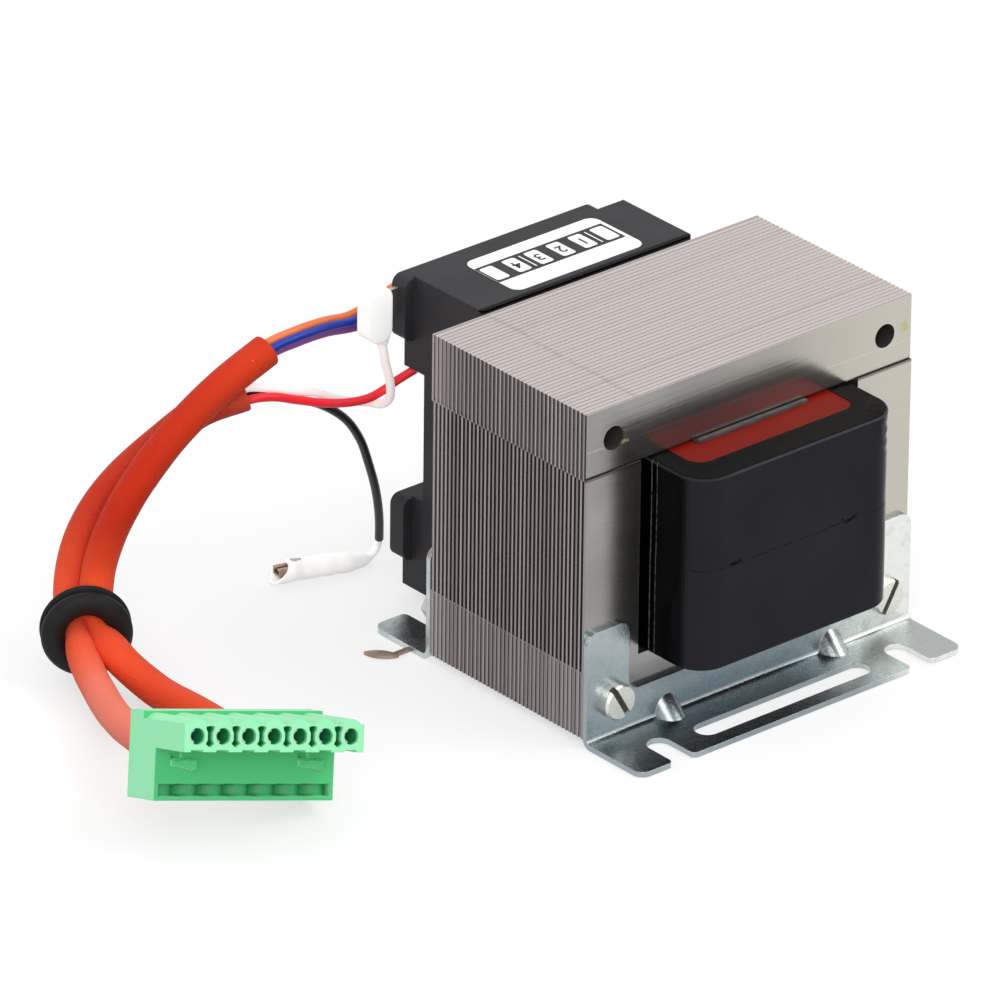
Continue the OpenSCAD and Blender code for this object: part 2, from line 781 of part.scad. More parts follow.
// Receptacle pushed on the side tab: a flat sleeve of rolled sheet
module flag_terminal() {
  seat = [tab_t + fit, side_tab_w + fit];
  slit_share = 0.3;
  color("#c2bfae")
    translate([flag_x0 + 2 * cover_wall, flag_y, side_tab_z])
      rotate([90, 0, 90])
        linear_extrude(flag_w - 3 * cover_wall)
          difference() {
            square(seat + 2 * [receptacle_t, receptacle_t], center = true);
            square(seat, center = true);
            translate([-seat[0] / 2 - receptacle_t / 2, 0])
              square([2 * receptacle_t, side_tab_w * slit_share], center = true);
          }
}

// Soft cover of the flag terminal, drawn down to the lead at its foot
module flag_cover() {
  room = [tab_t + 2 * receptacle_t + 3 * fit, side_tab_w + 2 * receptacle_t + 3 * fit];
  stem_wall = 0.3;
  stem_h = 1;
  color("#f1efe9")
    difference() {
      union() {
        upright(flag_y - flag_t / 2, flag_y + flag_t / 2)
          translate([flag_x0 + flag_w / 2, flag_z0 + flag_h / 2])
            round_rect([flag_w / 2, flag_h / 2], flag_corner_r);
        hull() {
          translate([flag_stem_x, flag_y, flag_stem_z])
            cylinder(d = lead_d + 2 * stem_wall, h = stem_h, $fn = 24);
          translate([flag_stem_x - flag_w / 4, flag_y - flag_t / 2, flag_z0 + flag_corner_r])
            cube([flag_w * 0.4, flag_t, stem_h]);
        }
      }
      translate([flag_x0 + 2 * cover_wall - fit, flag_y - room[0] / 2, side_tab_z - room[1] / 2])
        cube([flag_w, room[0], room[1]]);
    }
}

module lead_orange() {
  color("#d8602c")
    lead(orange_route, [0, 0, 1]);
}

module lead_blue() {
  color("#2848a8")
    lead(blue_route, [0, 0, 1]);
}

module lead_violet() {
  color("#8a4496")
    lead(violet_route, [0, 0, 1]);
}

module lead_red() {
  color("#d81f2a")
    lead(red_route, [0, 1, 0]);
}

module lead_white() {
  color("#f0ecea")
    lead(white_route, [0, 1, 0]);
}

module lead_black() {
  color("#2a2829")
    lead(black_route, [0, 1, 0]);
}

module sleeve_upper() {
  color("#d4502a")
    sleeve(sleeve_upper_route, sleeve_upper_d);
}

module sleeve_lower() {
  color("#c84a27")
    sleeve(sleeve_lower_route, sleeve_lower_d);
}

// Rubber grommet round both sleeves: a full front lip, a groove and a thin rear lip
module grommet() {
  axis = unit(grommet_axis);
  half_w = (grommet_d - grommet_hole_d) / 4;
  middle = (grommet_d + grommet_hole_d) / 4;
  front_t = grommet_t - grommet_groove_w - grommet_rear_t;
  lip_flat = 0.05;
  color("#1f1f21")
    translate(grommet_at)
      rotate([0, acos(axis[2]), atan2(axis[1], axis[0])])
        rotate_extrude() {
          translate([middle, (grommet_t - front_t) / 2])
            round_rect([half_w, front_t / 2], min(half_w, front_t / 2) - lip_flat);
          translate([middle, (grommet_rear_t - grommet_t) / 2])
            round_rect([half_w, grommet_rear_t / 2], min(half_w, grommet_rear_t / 2) - lip_flat);
          translate([grommet_hole_d / 2, (grommet_rear_t - grommet_t) / 2])
            square([2 * half_w - grommet_groove_d, grommet_t - (grommet_rear_t + front_t) / 2]);
        }
}

// Puts what is drawn in the plug's own frame in its place: row along +X, front to -Y
module on_plug() {
  translate(plug_at)
    rotate(plug_turn)
      children();
}

function pole_x(i) = (i - (poles - 1) / 2) * pole_pitch;

// Side view of the plug, with its depth to +X and its height to +Y
module plug_section() {
  polygon([
    [0, 0], [plug_base_d, 0], [plug_base_d, nose_z], [plug_d, nose_z],
    [plug_d, plug_h - nose_step], [plug_base_d * 0.5, plug_h - nose_step],
    [plug_base_d * 0.5, plug_h], [0, plug_h]]);
}

// Coding slot between two poles: two round ends joined by a neck, open below
module coding_slot() {
  end_r = 0.75;
  upper_z = contact_z + nose_h * 0.25;
  lower_z = contact_z - nose_h * 0.3;
  for (z = [lower_z, upper_z])
    translate([0, z])
      circle(end_r, $fn = 24);
  translate([-coding_neck_w / 2, nose_z - eps])
    square([coding_neck_w, upper_z - nose_z + eps]);
}

module plug_body() {
  window_web = 0.9;
  window_w = pole_pitch - window_web;
  window_d = 1.6;
  window_tall = 2.1;
  window_z = 0.7;
  clamp_hole_depth = 3;
  hook = [3.4, 1.6, 1.3];
  color("#3fc06a")
    on_plug() {
      difference() {
        translate([-plug_l / 2, 0, 0])
          rotate([90, 0, 90])
            linear_extrude(plug_l)
              mirror([1, 0])
                plug_section();
        for (i = [0:poles - 1]) {
          translate([pole_x(i), -plug_d - eps, contact_z])
            rotate([-90, 0, 0])
              cylinder(d = contact_hole_d, h = contact_hole_depth + eps);
          translate([pole_x(i), eps, wire_hole_z])
            rotate([90, 0, 0])
              cylinder(d = wire_hole_d, h = plug_base_d * 0.6 + eps);
          translate([pole_x(i), -plug_base_d / 2, -eps])
            cylinder(d = clamp_hole_d, h = clamp_hole_depth + eps);
          translate([pole_x(i) - window_w / 2, -plug_base_d - eps, window_z])
            cube([window_w, window_d + eps, window_tall]);
        }
        for (i = [0:poles - 2])
          upright(-plug_d - eps, -plug_d + coding_depth)
            translate([pole_x(i) + pole_pitch / 2, 0])
              coding_slot();
      }
      for (s = [-1, 1])
        translate([s * plug_l * 0.36 - hook[0] / 2, -plug_base_d - hook[1], nose_z * 0.66])
          cube([hook[0], hook[1] + fit, hook[2]]);
    }
}

// Spring contacts seated at the bottom of their openings
module plug_contacts() {
  contact_wall = 0.4;
  contact_inset = 1;
  contact_d = contact_hole_d - 2 * fit;
  color("#c8c8c2")
    on_plug()
      for (i = [0:poles - 1])
        upright(-plug_d + contact_inset, -plug_d + contact_hole_depth)
          translate([pole_x(i), contact_z])
            difference() {
              circle(d = contact_d);
              circle(d = contact_d - 2 * contact_wall);
            }
}

// Slotted clamp screws in the plug's underside
module plug_clamp_screws() {
  clamp_inset = 1.2;
  clamp_h = 1.8;
  clamp_slot = 0.6;
  color("#b8bcae")
    on_plug()
      for (i = [0:poles - 1])
        translate([pole_x(i), -plug_base_d / 2, clamp_inset])
          difference() {
            cylinder(d = clamp_hole_d - 2 * fit, h = clamp_h);
            translate([-clamp_slot / 2, -clamp_hole_d, -eps])
              cube([clamp_slot, 2 * clamp_hole_d, clamp_slot + eps]);
          }
}

// Half width of the loose cover at point i of its route, less a wall
function loose_r(i, wall) = loose_cover_r * loose_cover_shape[i] - wall;

// Soft cover of the loose push-on terminal, open at its mouth
module loose_terminal_cover() {
  last = len(loose_cover_route) - 1;
  mouth = unit(loose_cover_route[last] - loose_cover_route[last - 1]);
  inner = concat([for (i = [last - 3:last]) loose_cover_route[i]], [loose_cover_route[last] + eps * mouth]);
  inner_r = [for (i = [last - 3:last + 1]) loose_r(min(i, last), cover_wall)];
  color("#efece6")
    difference() {
      tube(loose_cover_route, [for (i = [0:last]) loose_r(i, 0)], 12, [0, 1, 0.5]);
      tube(inner, inner_r, 12, [0, 1, 0.5]);
    }
}

// The loose push-on terminal in the mouth of its cover: a flat receptacle of rolled sheet
module loose_terminal() {
  last = len(loose_cover_route) - 1;
  from = loose_cover_route[last - 2];
  along = loose_cover_route[last] - from;
  mouth_inset = 0.6;
  side_gap = 0.4;
  size = [2 * (loose_r(last, cover_wall) - side_gap), 1.5];
  color("#a39a84")
    translate(from)
      rotate([0, 0, atan2(along[1], along[0])])
        rotate([90, 0, 90])
          linear_extrude(norm(along) - mouth_inset)
            difference() {
              square(size, center = true);
              square(size - 2 * [receptacle_t, receptacle_t], center = true);
              translate([0, size[1] / 2])
                square([size[0] / 4, 2 * receptacle_t], center = true);
            }
}

e_laminations();
i_bars_top();
i_bars_bottom();
core_wedges();
winding_former();
primary_winding();
winding_insulation();
secondary_winding();
coil_wrap();
front_bracket();
rear_bracket();
clamp_screws();
lock_washers();
clamp_nuts();
earth_tag();
terminal_housing();
upper_tabs();
lower_tabs();
side_tab();
flag_terminal();
flag_cover();
lead_orange();
lead_blue();
lead_violet();
lead_red();
lead_white();
lead_black();
sleeve_upper();
sleeve_lower();
grommet();
plug_body();
plug_contacts();
plug_clamp_screws();
loose_terminal();
loose_terminal_cover();
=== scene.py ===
"""Dressed model of an open-frame mains transformer with its lead set."""

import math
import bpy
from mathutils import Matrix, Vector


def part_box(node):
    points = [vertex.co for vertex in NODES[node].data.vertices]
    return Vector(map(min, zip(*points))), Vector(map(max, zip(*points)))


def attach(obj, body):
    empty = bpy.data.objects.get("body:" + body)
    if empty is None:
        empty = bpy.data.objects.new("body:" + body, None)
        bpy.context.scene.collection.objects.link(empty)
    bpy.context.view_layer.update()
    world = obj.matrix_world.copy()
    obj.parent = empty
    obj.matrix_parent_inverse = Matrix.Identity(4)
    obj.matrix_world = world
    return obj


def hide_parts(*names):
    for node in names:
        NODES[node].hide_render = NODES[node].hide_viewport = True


bl_info = {
    "name": "Open-frame transformer",
    "version": (1, 0, 0),
    "blender": (4, 5, 0),
    "location": "3D View > Sidebar > Transformer",
    "description": "Finishes the solids of a transformer and adds its soft pieces, print and stage",
    "category": "Object",
}

import bpy
import numpy as np
from mathutils import Matrix

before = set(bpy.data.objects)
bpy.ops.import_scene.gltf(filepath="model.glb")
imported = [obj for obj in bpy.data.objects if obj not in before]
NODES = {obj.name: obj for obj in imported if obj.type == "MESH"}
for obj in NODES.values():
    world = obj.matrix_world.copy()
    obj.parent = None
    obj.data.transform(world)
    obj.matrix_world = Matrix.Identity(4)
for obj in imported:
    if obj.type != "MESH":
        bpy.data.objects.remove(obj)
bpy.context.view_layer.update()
MM = 0.001
BODY = "root"
UP = (0.0, 0.0, 1.0)
BACK = (0.0, 1.0, 0.0)

# Routes of the cords and of the loose cover, in millimetres, from the transformer outwards
ROUTES = {
    "lead_orange": [
        (-6.1, 42.9, 57.5), (-6.1, 47, 57.6), (-9, 51, 57.4), (-15, 52.6, 56.2), (-22, 52.5, 54.6),
        (-30.2, 51.6, 53.5), (-36.5, 51.3, 54.4), (-43.2, 51, 54.7), (-49.8, 50.9, 54.2)],
    "lead_blue": [
        (-12.3, 42.9, 57.5), (-12.3, 46.8, 57.2), (-15.2, 50, 56.2), (-22, 50.8, 53.7),
        (-30.2, 50, 53.1), (-36.5, 49.7, 54), (-43.2, 49.4, 54.3), (-49.9, 49.3, 53.8)],
    "lead_violet": [
        (-18.5, 43.1, 57.4), (-18.5, 45.4, 56.8), (-20.2, 48, 54.6), (-24.2, 49.9, 51.6),
        (-30.2, 50.8, 51.4), (-36.5, 50.5, 52.5), (-43.2, 50.2, 52.8), (-49.2, 50.1, 52.4)],
    "lead_red": [
        (-23.1, 41.9, 44.5), (-24.3, 42.7, 43.6), (-26, 43.9, 42.2), (-27.9, 44.8, 40.8), (-30.6, 45.4, 39.9),
        (-34.1, 46.5, 39.7), (-38.6, 48, 40.4), (-43.6, 49.4, 42), (-48.7, 50.4, 43.8), (-52.8, 51.2, 44.3)],
    "lead_white": [
        (-30, 42.8, 51.2), (-29.5, 42.4, 47.4), (-28.8, 42, 43.6), (-28.2, 42.9, 39.9), (-28.2, 45.2, 38),
        (-29.3, 47.6, 37.8), (-31.8, 49, 38.3), (-35.5, 49.6, 39.8), (-38.5, 50, 41.6), (-44.2, 50.8, 43.5),
        (-49.1, 51.5, 45.3), (-52.7, 52, 46.3)],
    "lead_black": [
        (-51.8, 53.2, 44.4), (-48.5, 52.6, 43.5), (-43.5, 51.5, 41.5), (-38, 50.4, 39.1), (-32.7, 49.8, 34.9),
        (-28.7, 50.4, 29.5), (-25.6, 51.4, 22.9), (-22.7, 52.8, 15.9), (-20.6, 54.4, 9.5), (-19.2, 56, 4.3)],
    "sleeve_upper": [
        (-50, 50.1, 53.6), (-59.8, 50.6, 49.4), (-66.9, 52.6, 43.4), (-72.7, 54.8, 36.3), (-76.9, 56.6, 29.3),
        (-79.3, 58.3, 22.5), (-81, 58.6, 17.3), (-83.2, 56.7, 13.5), (-85.7, 52.3, 9.5), (-86.9, 45.8, 7.1),
        (-85.6, 38.4, 3.9), (-86, 25, 4.2), (-90.5, -0.2, 7.6)],
    "sleeve_lower": [
        (-53.2, 52.1, 45.1), (-60.2, 55.6, 42.9), (-66, 60, 37), (-72.6, 63.3, 30.6), (-77.7, 65, 24.1),
        (-80.7, 65.2, 18.7), (-82.9, 64.2, 13.9), (-85.3, 61.4, 10.5), (-88.8, 55.3, 8.9), (-91.4, 49.6, 6.2),
        (-95.6, 39.5, 4.6), (-102, 26, 7), (-109.6, 3.7, 12.2)],
    "loose_cover": [
        (-19.2, 56.1, 4), (-19.5, 56.4, 2.4), (-20.9, 56.4, 1.2), (-23.6, 56.3, 1.3), (-26, 56.6, 1.6),
        (-29.5, 57.7, 1.8), (-34, 59.1, 2.0), (-37.5, 59.8, 2.2), (-40, 60.3, 2.3)],
}
# Points that a smooth line has on each span of a route, and the sleeves' route point in the grommet
PER_SPAN = 28
GROMMET_POINT = 8

# Places and pitch in millimetres, turns in degrees
GROMMET_AT = (-87.7, 53.8, 9.15)
GROMMET_AXIS = (-0.555, -0.83, -0.02)
PLUG_AT = (-103, -0.7, 4.4)
PLUG_TURN = (-20, 14, -11.5)
POLES, POLE_PITCH = 7, 5.08
# Height of the contacts in the plug's own frame
PIN_Z = 11.7
# Landmarks of the core that its finish follows, in millimetres
STACK_FRONT, TOP_BAND = -20.5, (60, 61)
LEG_FOOT, LEG_TOP, BAR_JOINT = 14.4, 51.1, 51.5
BORE_X, BORE_Z = 31.25, 57.75


# Surfaces: whole arrays of points, in millimetres

def unit(v):
    """Vectors divided by their lengths."""
    v = np.asarray(v, float)
    return v / np.linalg.norm(v, axis=-1, keepdims=True)


def spline(points):
    """A smooth line through points: on each span a cubic with the two end points and end slopes,
    where a slope is the mean of the neighbouring chords weighted by the other chord's length."""
    p = np.asarray(points, float)
    chord = np.diff(p, axis=0)
    h = np.linalg.norm(chord, axis=1)[:, None]
    slope = chord / h
    inner = (slope[:-1] * h[1:] + slope[1:] * h[:-1]) / (h[:-1] + h[1:])
    m = np.vstack([slope[:1], inner, slope[-1:]])
    t = np.linspace(0, 1, PER_SPAN, endpoint=False)[None, :, None]
    a, b, ma, mb, hh = p[:-1, None], p[1:, None], m[:-1, None], m[1:, None], h[:, None]
    q = ((2 * t**3 - 3 * t**2 + 1) * a + (t**3 - 2 * t**2 + t) * hh * ma
         + (3 * t**2 - 2 * t**3) * b + (t**3 - t**2) * hh * mb)
    return np.vstack([q.reshape(-1, 3), p[-1:]])


def arc_length(line):
    """Distance along a line at each of its points."""
    return np.concatenate([[0], np.cumsum(np.linalg.norm(np.diff(line, axis=0), axis=1))])


def tube(line, stations, radii, sides, reference, squash=1.0, slant=0.0):
    """An ellipse carried along a line: P(s, a) = C(s) + r(s) (A cos a + k B sin a), where A is square to
    the line's direction and to the reference, B is square to both, and k is 1 for a circle. Near the end
    the ellipses lean along the line, more and more, by the slant times sin a."""
    lean_over = 6
    s = arc_length(line)
    along = np.gradient(line, s, axis=0)
    at = np.stack([np.interp(stations, s, line[:, k]) for k in range(3)], 1)
    t = unit(np.stack([np.interp(stations, s, along[:, k]) for k in range(3)], 1))
    a = unit(np.cross(t, reference))
    b = np.cross(t, a)
    angle = np.linspace(0, 2 * np.pi, sides, endpoint=False)[None, :, None]
    near_end = np.clip((stations - s[-1] + lean_over) / lean_over, 0, 1)[:, None, None]
    lean = slant * near_end * t[:, None] * np.sin(angle)
    ring = np.cos(angle) * a[:, None] + squash * np.sin(angle) * b[:, None]
    return at[:, None] + np.asarray(radii, float)[:, None, None] * ring + lean


def revolve(profile, centre, axis, sides):
    """A closed profile of (radius, height) turned about an axis:
    P(t, a) = C + h K + r (U cos a + V sin a)."""
    k = unit(axis)
    u = unit(np.cross(k, UP))
    v = np.cross(k, u)
    angle = np.linspace(0, 2 * np.pi, sides, endpoint=False)[None, :, None]
    r, h = profile[:, 0, None, None], profile[:, 1, None, None]
    return np.asarray(centre, float) + h * k + r * (np.cos(angle) * u + np.sin(angle) * v)


def round_loop(half_x, half_y, radius, side_points=40, arc_points=14):
    """A rectangle with round corners, walked round counter-clockwise, and its outward directions: four
    straight sides and four quarter circles, with the same number of points whatever its size."""
    quarter = np.arange(4) * np.pi / 2
    turn = np.stack([np.cos(quarter), np.sin(quarter)], 1)
    hx, hy = half_x - radius, half_y - radius
    centre = np.array([[hx, hy], [-hx, hy], [-hx, -hy], [hx, -hy]])
    end = centre + radius * turn
    start = np.roll(centre, 1, 0) + radius * turn
    t = np.linspace(0, 1, side_points, endpoint=False)[None, :, None]
    straight = start[:, None] + (end - start)[:, None] * t
    a = quarter[:, None] + np.linspace(0, np.pi / 2, arc_points, endpoint=False)[None]
    out_arc = np.stack([np.cos(a), np.sin(a)], 2)
    arc = centre[:, None] + radius * out_arc
    out_straight = np.repeat(turn[:, None], side_points, 1)
    loop = np.concatenate([straight, arc], 1).reshape(-1, 2)
    return loop, np.concatenate([out_straight, out_arc], 1).reshape(-1, 2)


def grid_of(x, y, z):
    """A grid of points from its three parts, each as wide as the grid or repeated across it."""
    return np.stack(np.broadcast_arrays(x, y, z), -1)


def grid_faces(rows, cols, close_rows=False):
    """Four-cornered faces of a grid that closes on itself across its columns, and along its rows if asked."""
    i = np.arange(rows if close_rows else rows - 1)[:, None]
    k = np.arange(cols)[None]
    j, n = (i + 1) % rows, (k + 1) % cols
    return np.stack([i * cols + k, i * cols + n, j * cols + n, j * cols + k], 2).reshape(-1, 4)


def end_caps(rows, cols):
    """The two many-cornered faces that close a grid at its first and at its last row."""
    return range(cols - 1, -1, -1), range((rows - 1) * cols, rows * cols)


def piece(name, points, faces, caps=(), uv=None, sharp=None):
    """A mesh object from points in millimetres, riding on the transformer, with its place in its mesh."""
    mesh = bpy.data.meshes.new(name)
    metres = np.asarray(points, float).reshape(-1, 3) * MM
    mesh.from_pydata(metres.tolist(), [], faces.tolist() + [list(c) for c in caps])
    mesh.update()
    mesh.polygons.foreach_set("use_smooth", np.ones(len(mesh.polygons), bool))
    if uv is not None:
        layer = mesh.uv_layers.new(name="along")
        loops = np.zeros((len(mesh.loops), 2), np.float32)
        loops[:len(uv)] = uv
        layer.data.foreach_set("uv", loops.ravel())
    if sharp is not None:
        mesh.set_sharp_from_angle(angle=math.radians(sharp))
    return placed(name, mesh)


def placed(name, mesh):
    """An object of a mesh that is already in its place, riding on the transformer."""
    thing = bpy.data.objects.new(name, mesh)
    bpy.context.scene.collection.objects.link(thing)
    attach(thing, BODY)
    return thing


def tube_piece(name, line, stations, radii, sides, reference, squash=1.0, slant=0.0):
    """A closed tube; its map runs once round it and along it by the same measure."""
    grid = tube(line, stations, radii, sides, reference, squash, slant)
    rows = len(stations)
    along = np.asarray(stations, float) / (2 * np.pi * max(radii))
    i, k = np.arange(rows - 1)[:, None, None], np.arange(sides)[None, :, None]
    next_side, next_row = np.array([0, 1, 1, 0]), np.array([0, 0, 1, 1])
    uv = np.stack(np.broadcast_arrays((k + next_side) / sides, along[i + next_row]), 3).reshape(-1, 2)
    return piece(name, grid, grid_faces(rows, sides), end_caps(rows, sides), uv, 50)


# Finishes

class Value:
    """A shader socket that takes arithmetic: each expression adds its Math node."""

    def __init__(self, owner, socket):
        self.owner = owner
        self.socket = socket

    def math(self, operation, *others, reflected=False):
        values = (*others, self) if reflected else (self, *others)
        return self.owner.node("ShaderNodeMath", {"operation": operation}, dict(enumerate(values)))

    def __add__(self, other):
        return self.math("ADD", other)

    def __radd__(self, other):
        return self.math("ADD", other, reflected=True)

    def __sub__(self, other):
        return self.math("SUBTRACT", other)

    def __rsub__(self, other):
        return self.math("SUBTRACT", other, reflected=True)

    def __mul__(self, other):
        return self.math("MULTIPLY", other)

    def __rmul__(self, other):
        return self.math("MULTIPLY", other, reflected=True)

    def __truediv__(self, other):
        return self.math("DIVIDE", other)

    def __rtruediv__(self, other):
        return self.math("DIVIDE", other, reflected=True)

    def __abs__(self):
        return self.math("ABSOLUTE")

    def most(self, other):
        """The greater of two values."""
        return self.math("MAXIMUM", other)

    def step(self, low, high):
        """Smooth step from 0 at low to 1 at high."""
        inputs = {"Value": self, "From Min": low, "From Max": high}
        return self.owner.node("ShaderNodeMapRange", {"interpolation_type": "SMOOTHSTEP"}, inputs)

    def near(self, middle, core, reach):
        """1 where the value is within the core of the middle, falling to 0 at the reach."""
        return 1 - abs(self - middle).step(core, reach)

    def between(self, low, high, soft):
        """1 from low to high, falling to 0 over the soft width outside them."""
        return self.step(low - soft, low) * (1 - self.step(high, high + soft))


class Tree:
    """A node tree and the one method that makes its nodes."""

    def __init__(self, tree):
        self.tree = tree

    def node(self, kind, settings=None, inputs=None, output=0):
        made = self.tree.nodes.new(kind)
        for key, value in (settings or {}).items():
            setattr(made, key, value)
        for key, value in (inputs or {}).items():
            if isinstance(value, Value):
                self.tree.links.new(value.socket, made.inputs[key])
            else:
                made.inputs[key].default_value = value
        return Value(self, made.outputs[output])

    def seen(self):
        """1 on what the camera sees straight, in a mirror or through glass."""
        kinds = ("Camera", "Glossy", "Transmission")
        ray = [self.node("ShaderNodeLightPath", output="Is %s Ray" % kind) for kind in kinds]
        return ray[0].most(ray[1]).most(ray[2])


class Finish(Tree):
    """A material: its shader, with uniform values set on the sockets."""

    def __init__(self, name, **uniform):
        self.material = bpy.data.materials.new(name)
        self.material.use_nodes = True
        super().__init__(self.material.node_tree)
        self.shader = self.tree.nodes["Principled BSDF"]
        for key, value in uniform.items():
            self.shader.inputs[key.replace("_", " ")].default_value = value

    def feed(self, **values):
        for key, value in values.items():
            self.tree.links.new(value.socket, self.shader.inputs[key.replace("_", " ")])

    def fed(self, name):
        """What already feeds an input of the shader."""
        return Value(self, self.shader.inputs[name].links[0].from_socket)

    def point(self, scale=(1, 1, 1)):
        """Place on the object, in millimetres times the scale."""
        at = self.node("ShaderNodeTexCoord", output="Object")
        return self.node("ShaderNodeMapping", None, {"Vector": at, "Scale": tuple(s / MM for s in scale)})

    def split(self, vector):
        made = self.node("ShaderNodeSeparateXYZ", None, {0: vector}).socket.node
        return [Value(self, made.outputs[k]) for k in range(3)]

    def place(self):
        """The three parts of the place on the object, in millimetres."""
        return self.split(self.point())

    def facing(self):
        """The three parts of the surface's own direction."""
        return self.split(self.node("ShaderNodeNewGeometry", output="True Normal"))

    def noise(self, per_mm, detail=2.0, roughness=0.5):
        """Noise with so many cells to a millimetre, the same along each axis or one number for each."""
        scale = per_mm if isinstance(per_mm, tuple) else (per_mm, per_mm, per_mm)
        inputs = {"Vector": self.point(scale), "Scale": 1.0, "Detail": detail, "Roughness": roughness}
        return self.node("ShaderNodeTexNoise", None, inputs)

    def mix(self, factor, first, second):
        """From the first colour at 0 to the second at 1."""
        one, two = (c if isinstance(c, Value) else (*c, 1) for c in (first, second))
        return self.node("ShaderNodeMix", {"data_type": "RGBA"}, {0: factor, 6: one, 7: two}, 2)

    def relief(self, height, depth_mm, edge_mm=0.0):
        """Bump of a height from 0 to 1 that stands for a depth in millimetres, over softened edges."""
        inputs = {"Height": height, "Distance": depth_mm * MM, "Strength": 1.0}
        if edge_mm:
            inputs["Normal"] = self.node("ShaderNodeBevel", {"samples": 6}, {"Radius": edge_mm * MM})
        self.feed(Normal=self.node("ShaderNodeBump", None, inputs))

    def spot(self, place, at, reach):
        """1 near a point, falling to 0 at the reach, in millimetres."""
        dx, dy, dz = (part - middle for part, middle in zip(place, at))
        return 1 - (dx * dx + dy * dy + dz * dz).math("SQRT").step(reach * 0.35, reach)


def scaled(parts, share):
    """The parts of a colour or of a place, each times a share."""
    return tuple(part * share for part in parts)


def wear(finish, names):
    """Gives a finish to solids of the frame."""
    for name in names:
        slots = NODES[name].data.materials
        slots.clear()
        slots.append(finish.material)


def cut_edges(f, place, ledge, top, row, joint):
    """Colour of the sheets' cut edges: a tone of its own for each sheet and a dark joint to the next. On the
    sides painted shade lies on the ends of the I bars, on the sunk legs and on the ledges, and the last
    sheets are paler. The top is painted paler than the sides, as lit from above, with a long bruise across
    it, and the bores are painted dark with shade."""
    x, y, z = place
    cloud, grit = f.noise(0.06, 3.0), f.noise(1.6, 4.0, 0.7)
    tone = f.node("ShaderNodeTexWhiteNoise", {"noise_dimensions": "1D"}, {"W": row.math("FLOOR")})
    second = (row * 0.5).math("FRACT").step(0.47, 0.53)
    above = z.step(LEG_TOP - 0.05, LEG_TOP + 0.05)
    below = 1 - z.step(LEG_FOOT - 0.05, LEG_FOOT + 0.05)
    bar_end = above * (1 - second) * 0.8 + below * second * (0.1 + y.step(-16, 2) * 0.35)
    sunk = (1 - abs(x).step(37.2, 37.4)) * (1 - above) * (1 - below)
    # painted shade on the ends of the I bars, on the sunk legs and on the ledges
    shade = (joint * 0.6).most(bar_end * (1 - y.step(9, 17) * 0.6)).most(sunk * 0.9).most(ledge * 0.9)
    steel = f.mix(tone, (0.26, 0.225, 0.228), (0.42, 0.375, 0.378))
    side = f.mix(shade, steel, (0.028, 0.022, 0.023))
    side = f.mix(y.step(14, 19.5) * 0.35, side, (0.50, 0.465, 0.455))
    # painted light: the top's cut edges are painted paler than the sides', as lit from above
    pale = f.mix(tone, (0.52, 0.46, 0.45), (0.57, 0.51, 0.50))
    crown = f.mix(joint * 0.12, pale, (0.22, 0.19, 0.185))
    crown = f.mix(tone.step(0.90, 0.98) * 0.35, crown, (0.18, 0.16, 0.155))
    bruise = (x + cloud * 3).near(-24, 0.1, 0.9) * grit.step(0.35, 0.65)
    crown = f.mix(bruise * 0.35, crown, (0.22, 0.20, 0.19))
    across, up = abs(x) - BORE_X, z - BORE_Z
    # painted shade: the bores are painted near-black, and core_steel also takes their metal away
    bore = 1 - (across * across + up * up).math("SQRT").step(2.35, 2.5)
    hollow = f.mix(joint, (0.035, 0.032, 0.03), (0.004, 0.004, 0.004))
    return f.mix(bore, f.mix(top, side, crown), hollow), bore


def flat_faces(f, place, grey, streak):
    """Colour of the flat faces: grey clouds, painted paler to the right as a painted reflection, with fine
    streaks, a long scratch, the joint of the I bar and two flecks of varnish by the bores."""
    x, _, z = place
    left_fleck, right_fleck = (-28.7, -20.25, 56.4), (35.8, -20.25, 58.2)
    cloud, grit = f.noise(0.06, 3.0), f.noise(1.6, 4.0, 0.7)
    face = f.mix(cloud.step(0.35, 0.7), grey, (0.345, 0.333, 0.315))
    # painted reflection: paler to the right
    face = f.mix(x.step(-12, 36) * 0.9, face, (0.55, 0.52, 0.45))
    face = f.mix(streak.step(0.55, 0.8) * 0.22, face, (0.36, 0.345, 0.33))
    scratch = (z + x * 0.017 - cloud * 0.6).near(55.7, 0.05, 0.22) * grit.step(0.36, 0.56)
    face = f.mix(scratch * 0.30, face, (0.74, 0.70, 0.60))
    face = f.mix(z.near(BAR_JOINT, 0.25, 0.6) * 0.75, face, (0.11, 0.10, 0.095))
    smear = f.spot(place, left_fleck, 1.5) * z.near(left_fleck[2], 0.2, 0.5)
    fleck = smear.most(f.spot(place, right_fleck, 1.4)) * grit.step(0.42, 0.50)
    return f.mix(fleck * 0.8, face, (0.50, 0.43, 0.18)), fleck


def core_steel(settings):
    """Stamped sheets: their flat faces mirror softly, and their cut edges are dull."""
    f = Finish("core_steel")
    place = f.place()
    _, ny, nz = f.facing()
    flat = abs(ny).step(0.4, 0.6)
    top = nz.step(0.4, 0.6) * place[2].step(*TOP_BAND)
    row = (place[1] - STACK_FRONT) / (settings.sheet / MM)
    joint = abs(row.math("FRACT") - 0.5).step(0.28, 0.48) * (1 - flat)
    streak = f.noise((0.02, 1, 1.2), 4.0, 0.65)
    edge, bore = cut_edges(f, place, abs(nz).step(0.4, 0.6), top, row, joint)
    face, fleck = flat_faces(f, place, tuple(settings.face_colour), streak)
    f.feed(Base_Color=f.mix(flat, edge, face), Metallic=(0.45 + flat * 0.5) * (1 - bore * (1 - flat)))
    f.feed(Roughness=0.50 + joint * 0.2 - flat * (0.34 - streak * 0.10 - fleck * 0.2))
    f.relief((1 - joint) * (1 - top * 0.9) + streak * 0.2 * flat, 0.10)
    return f


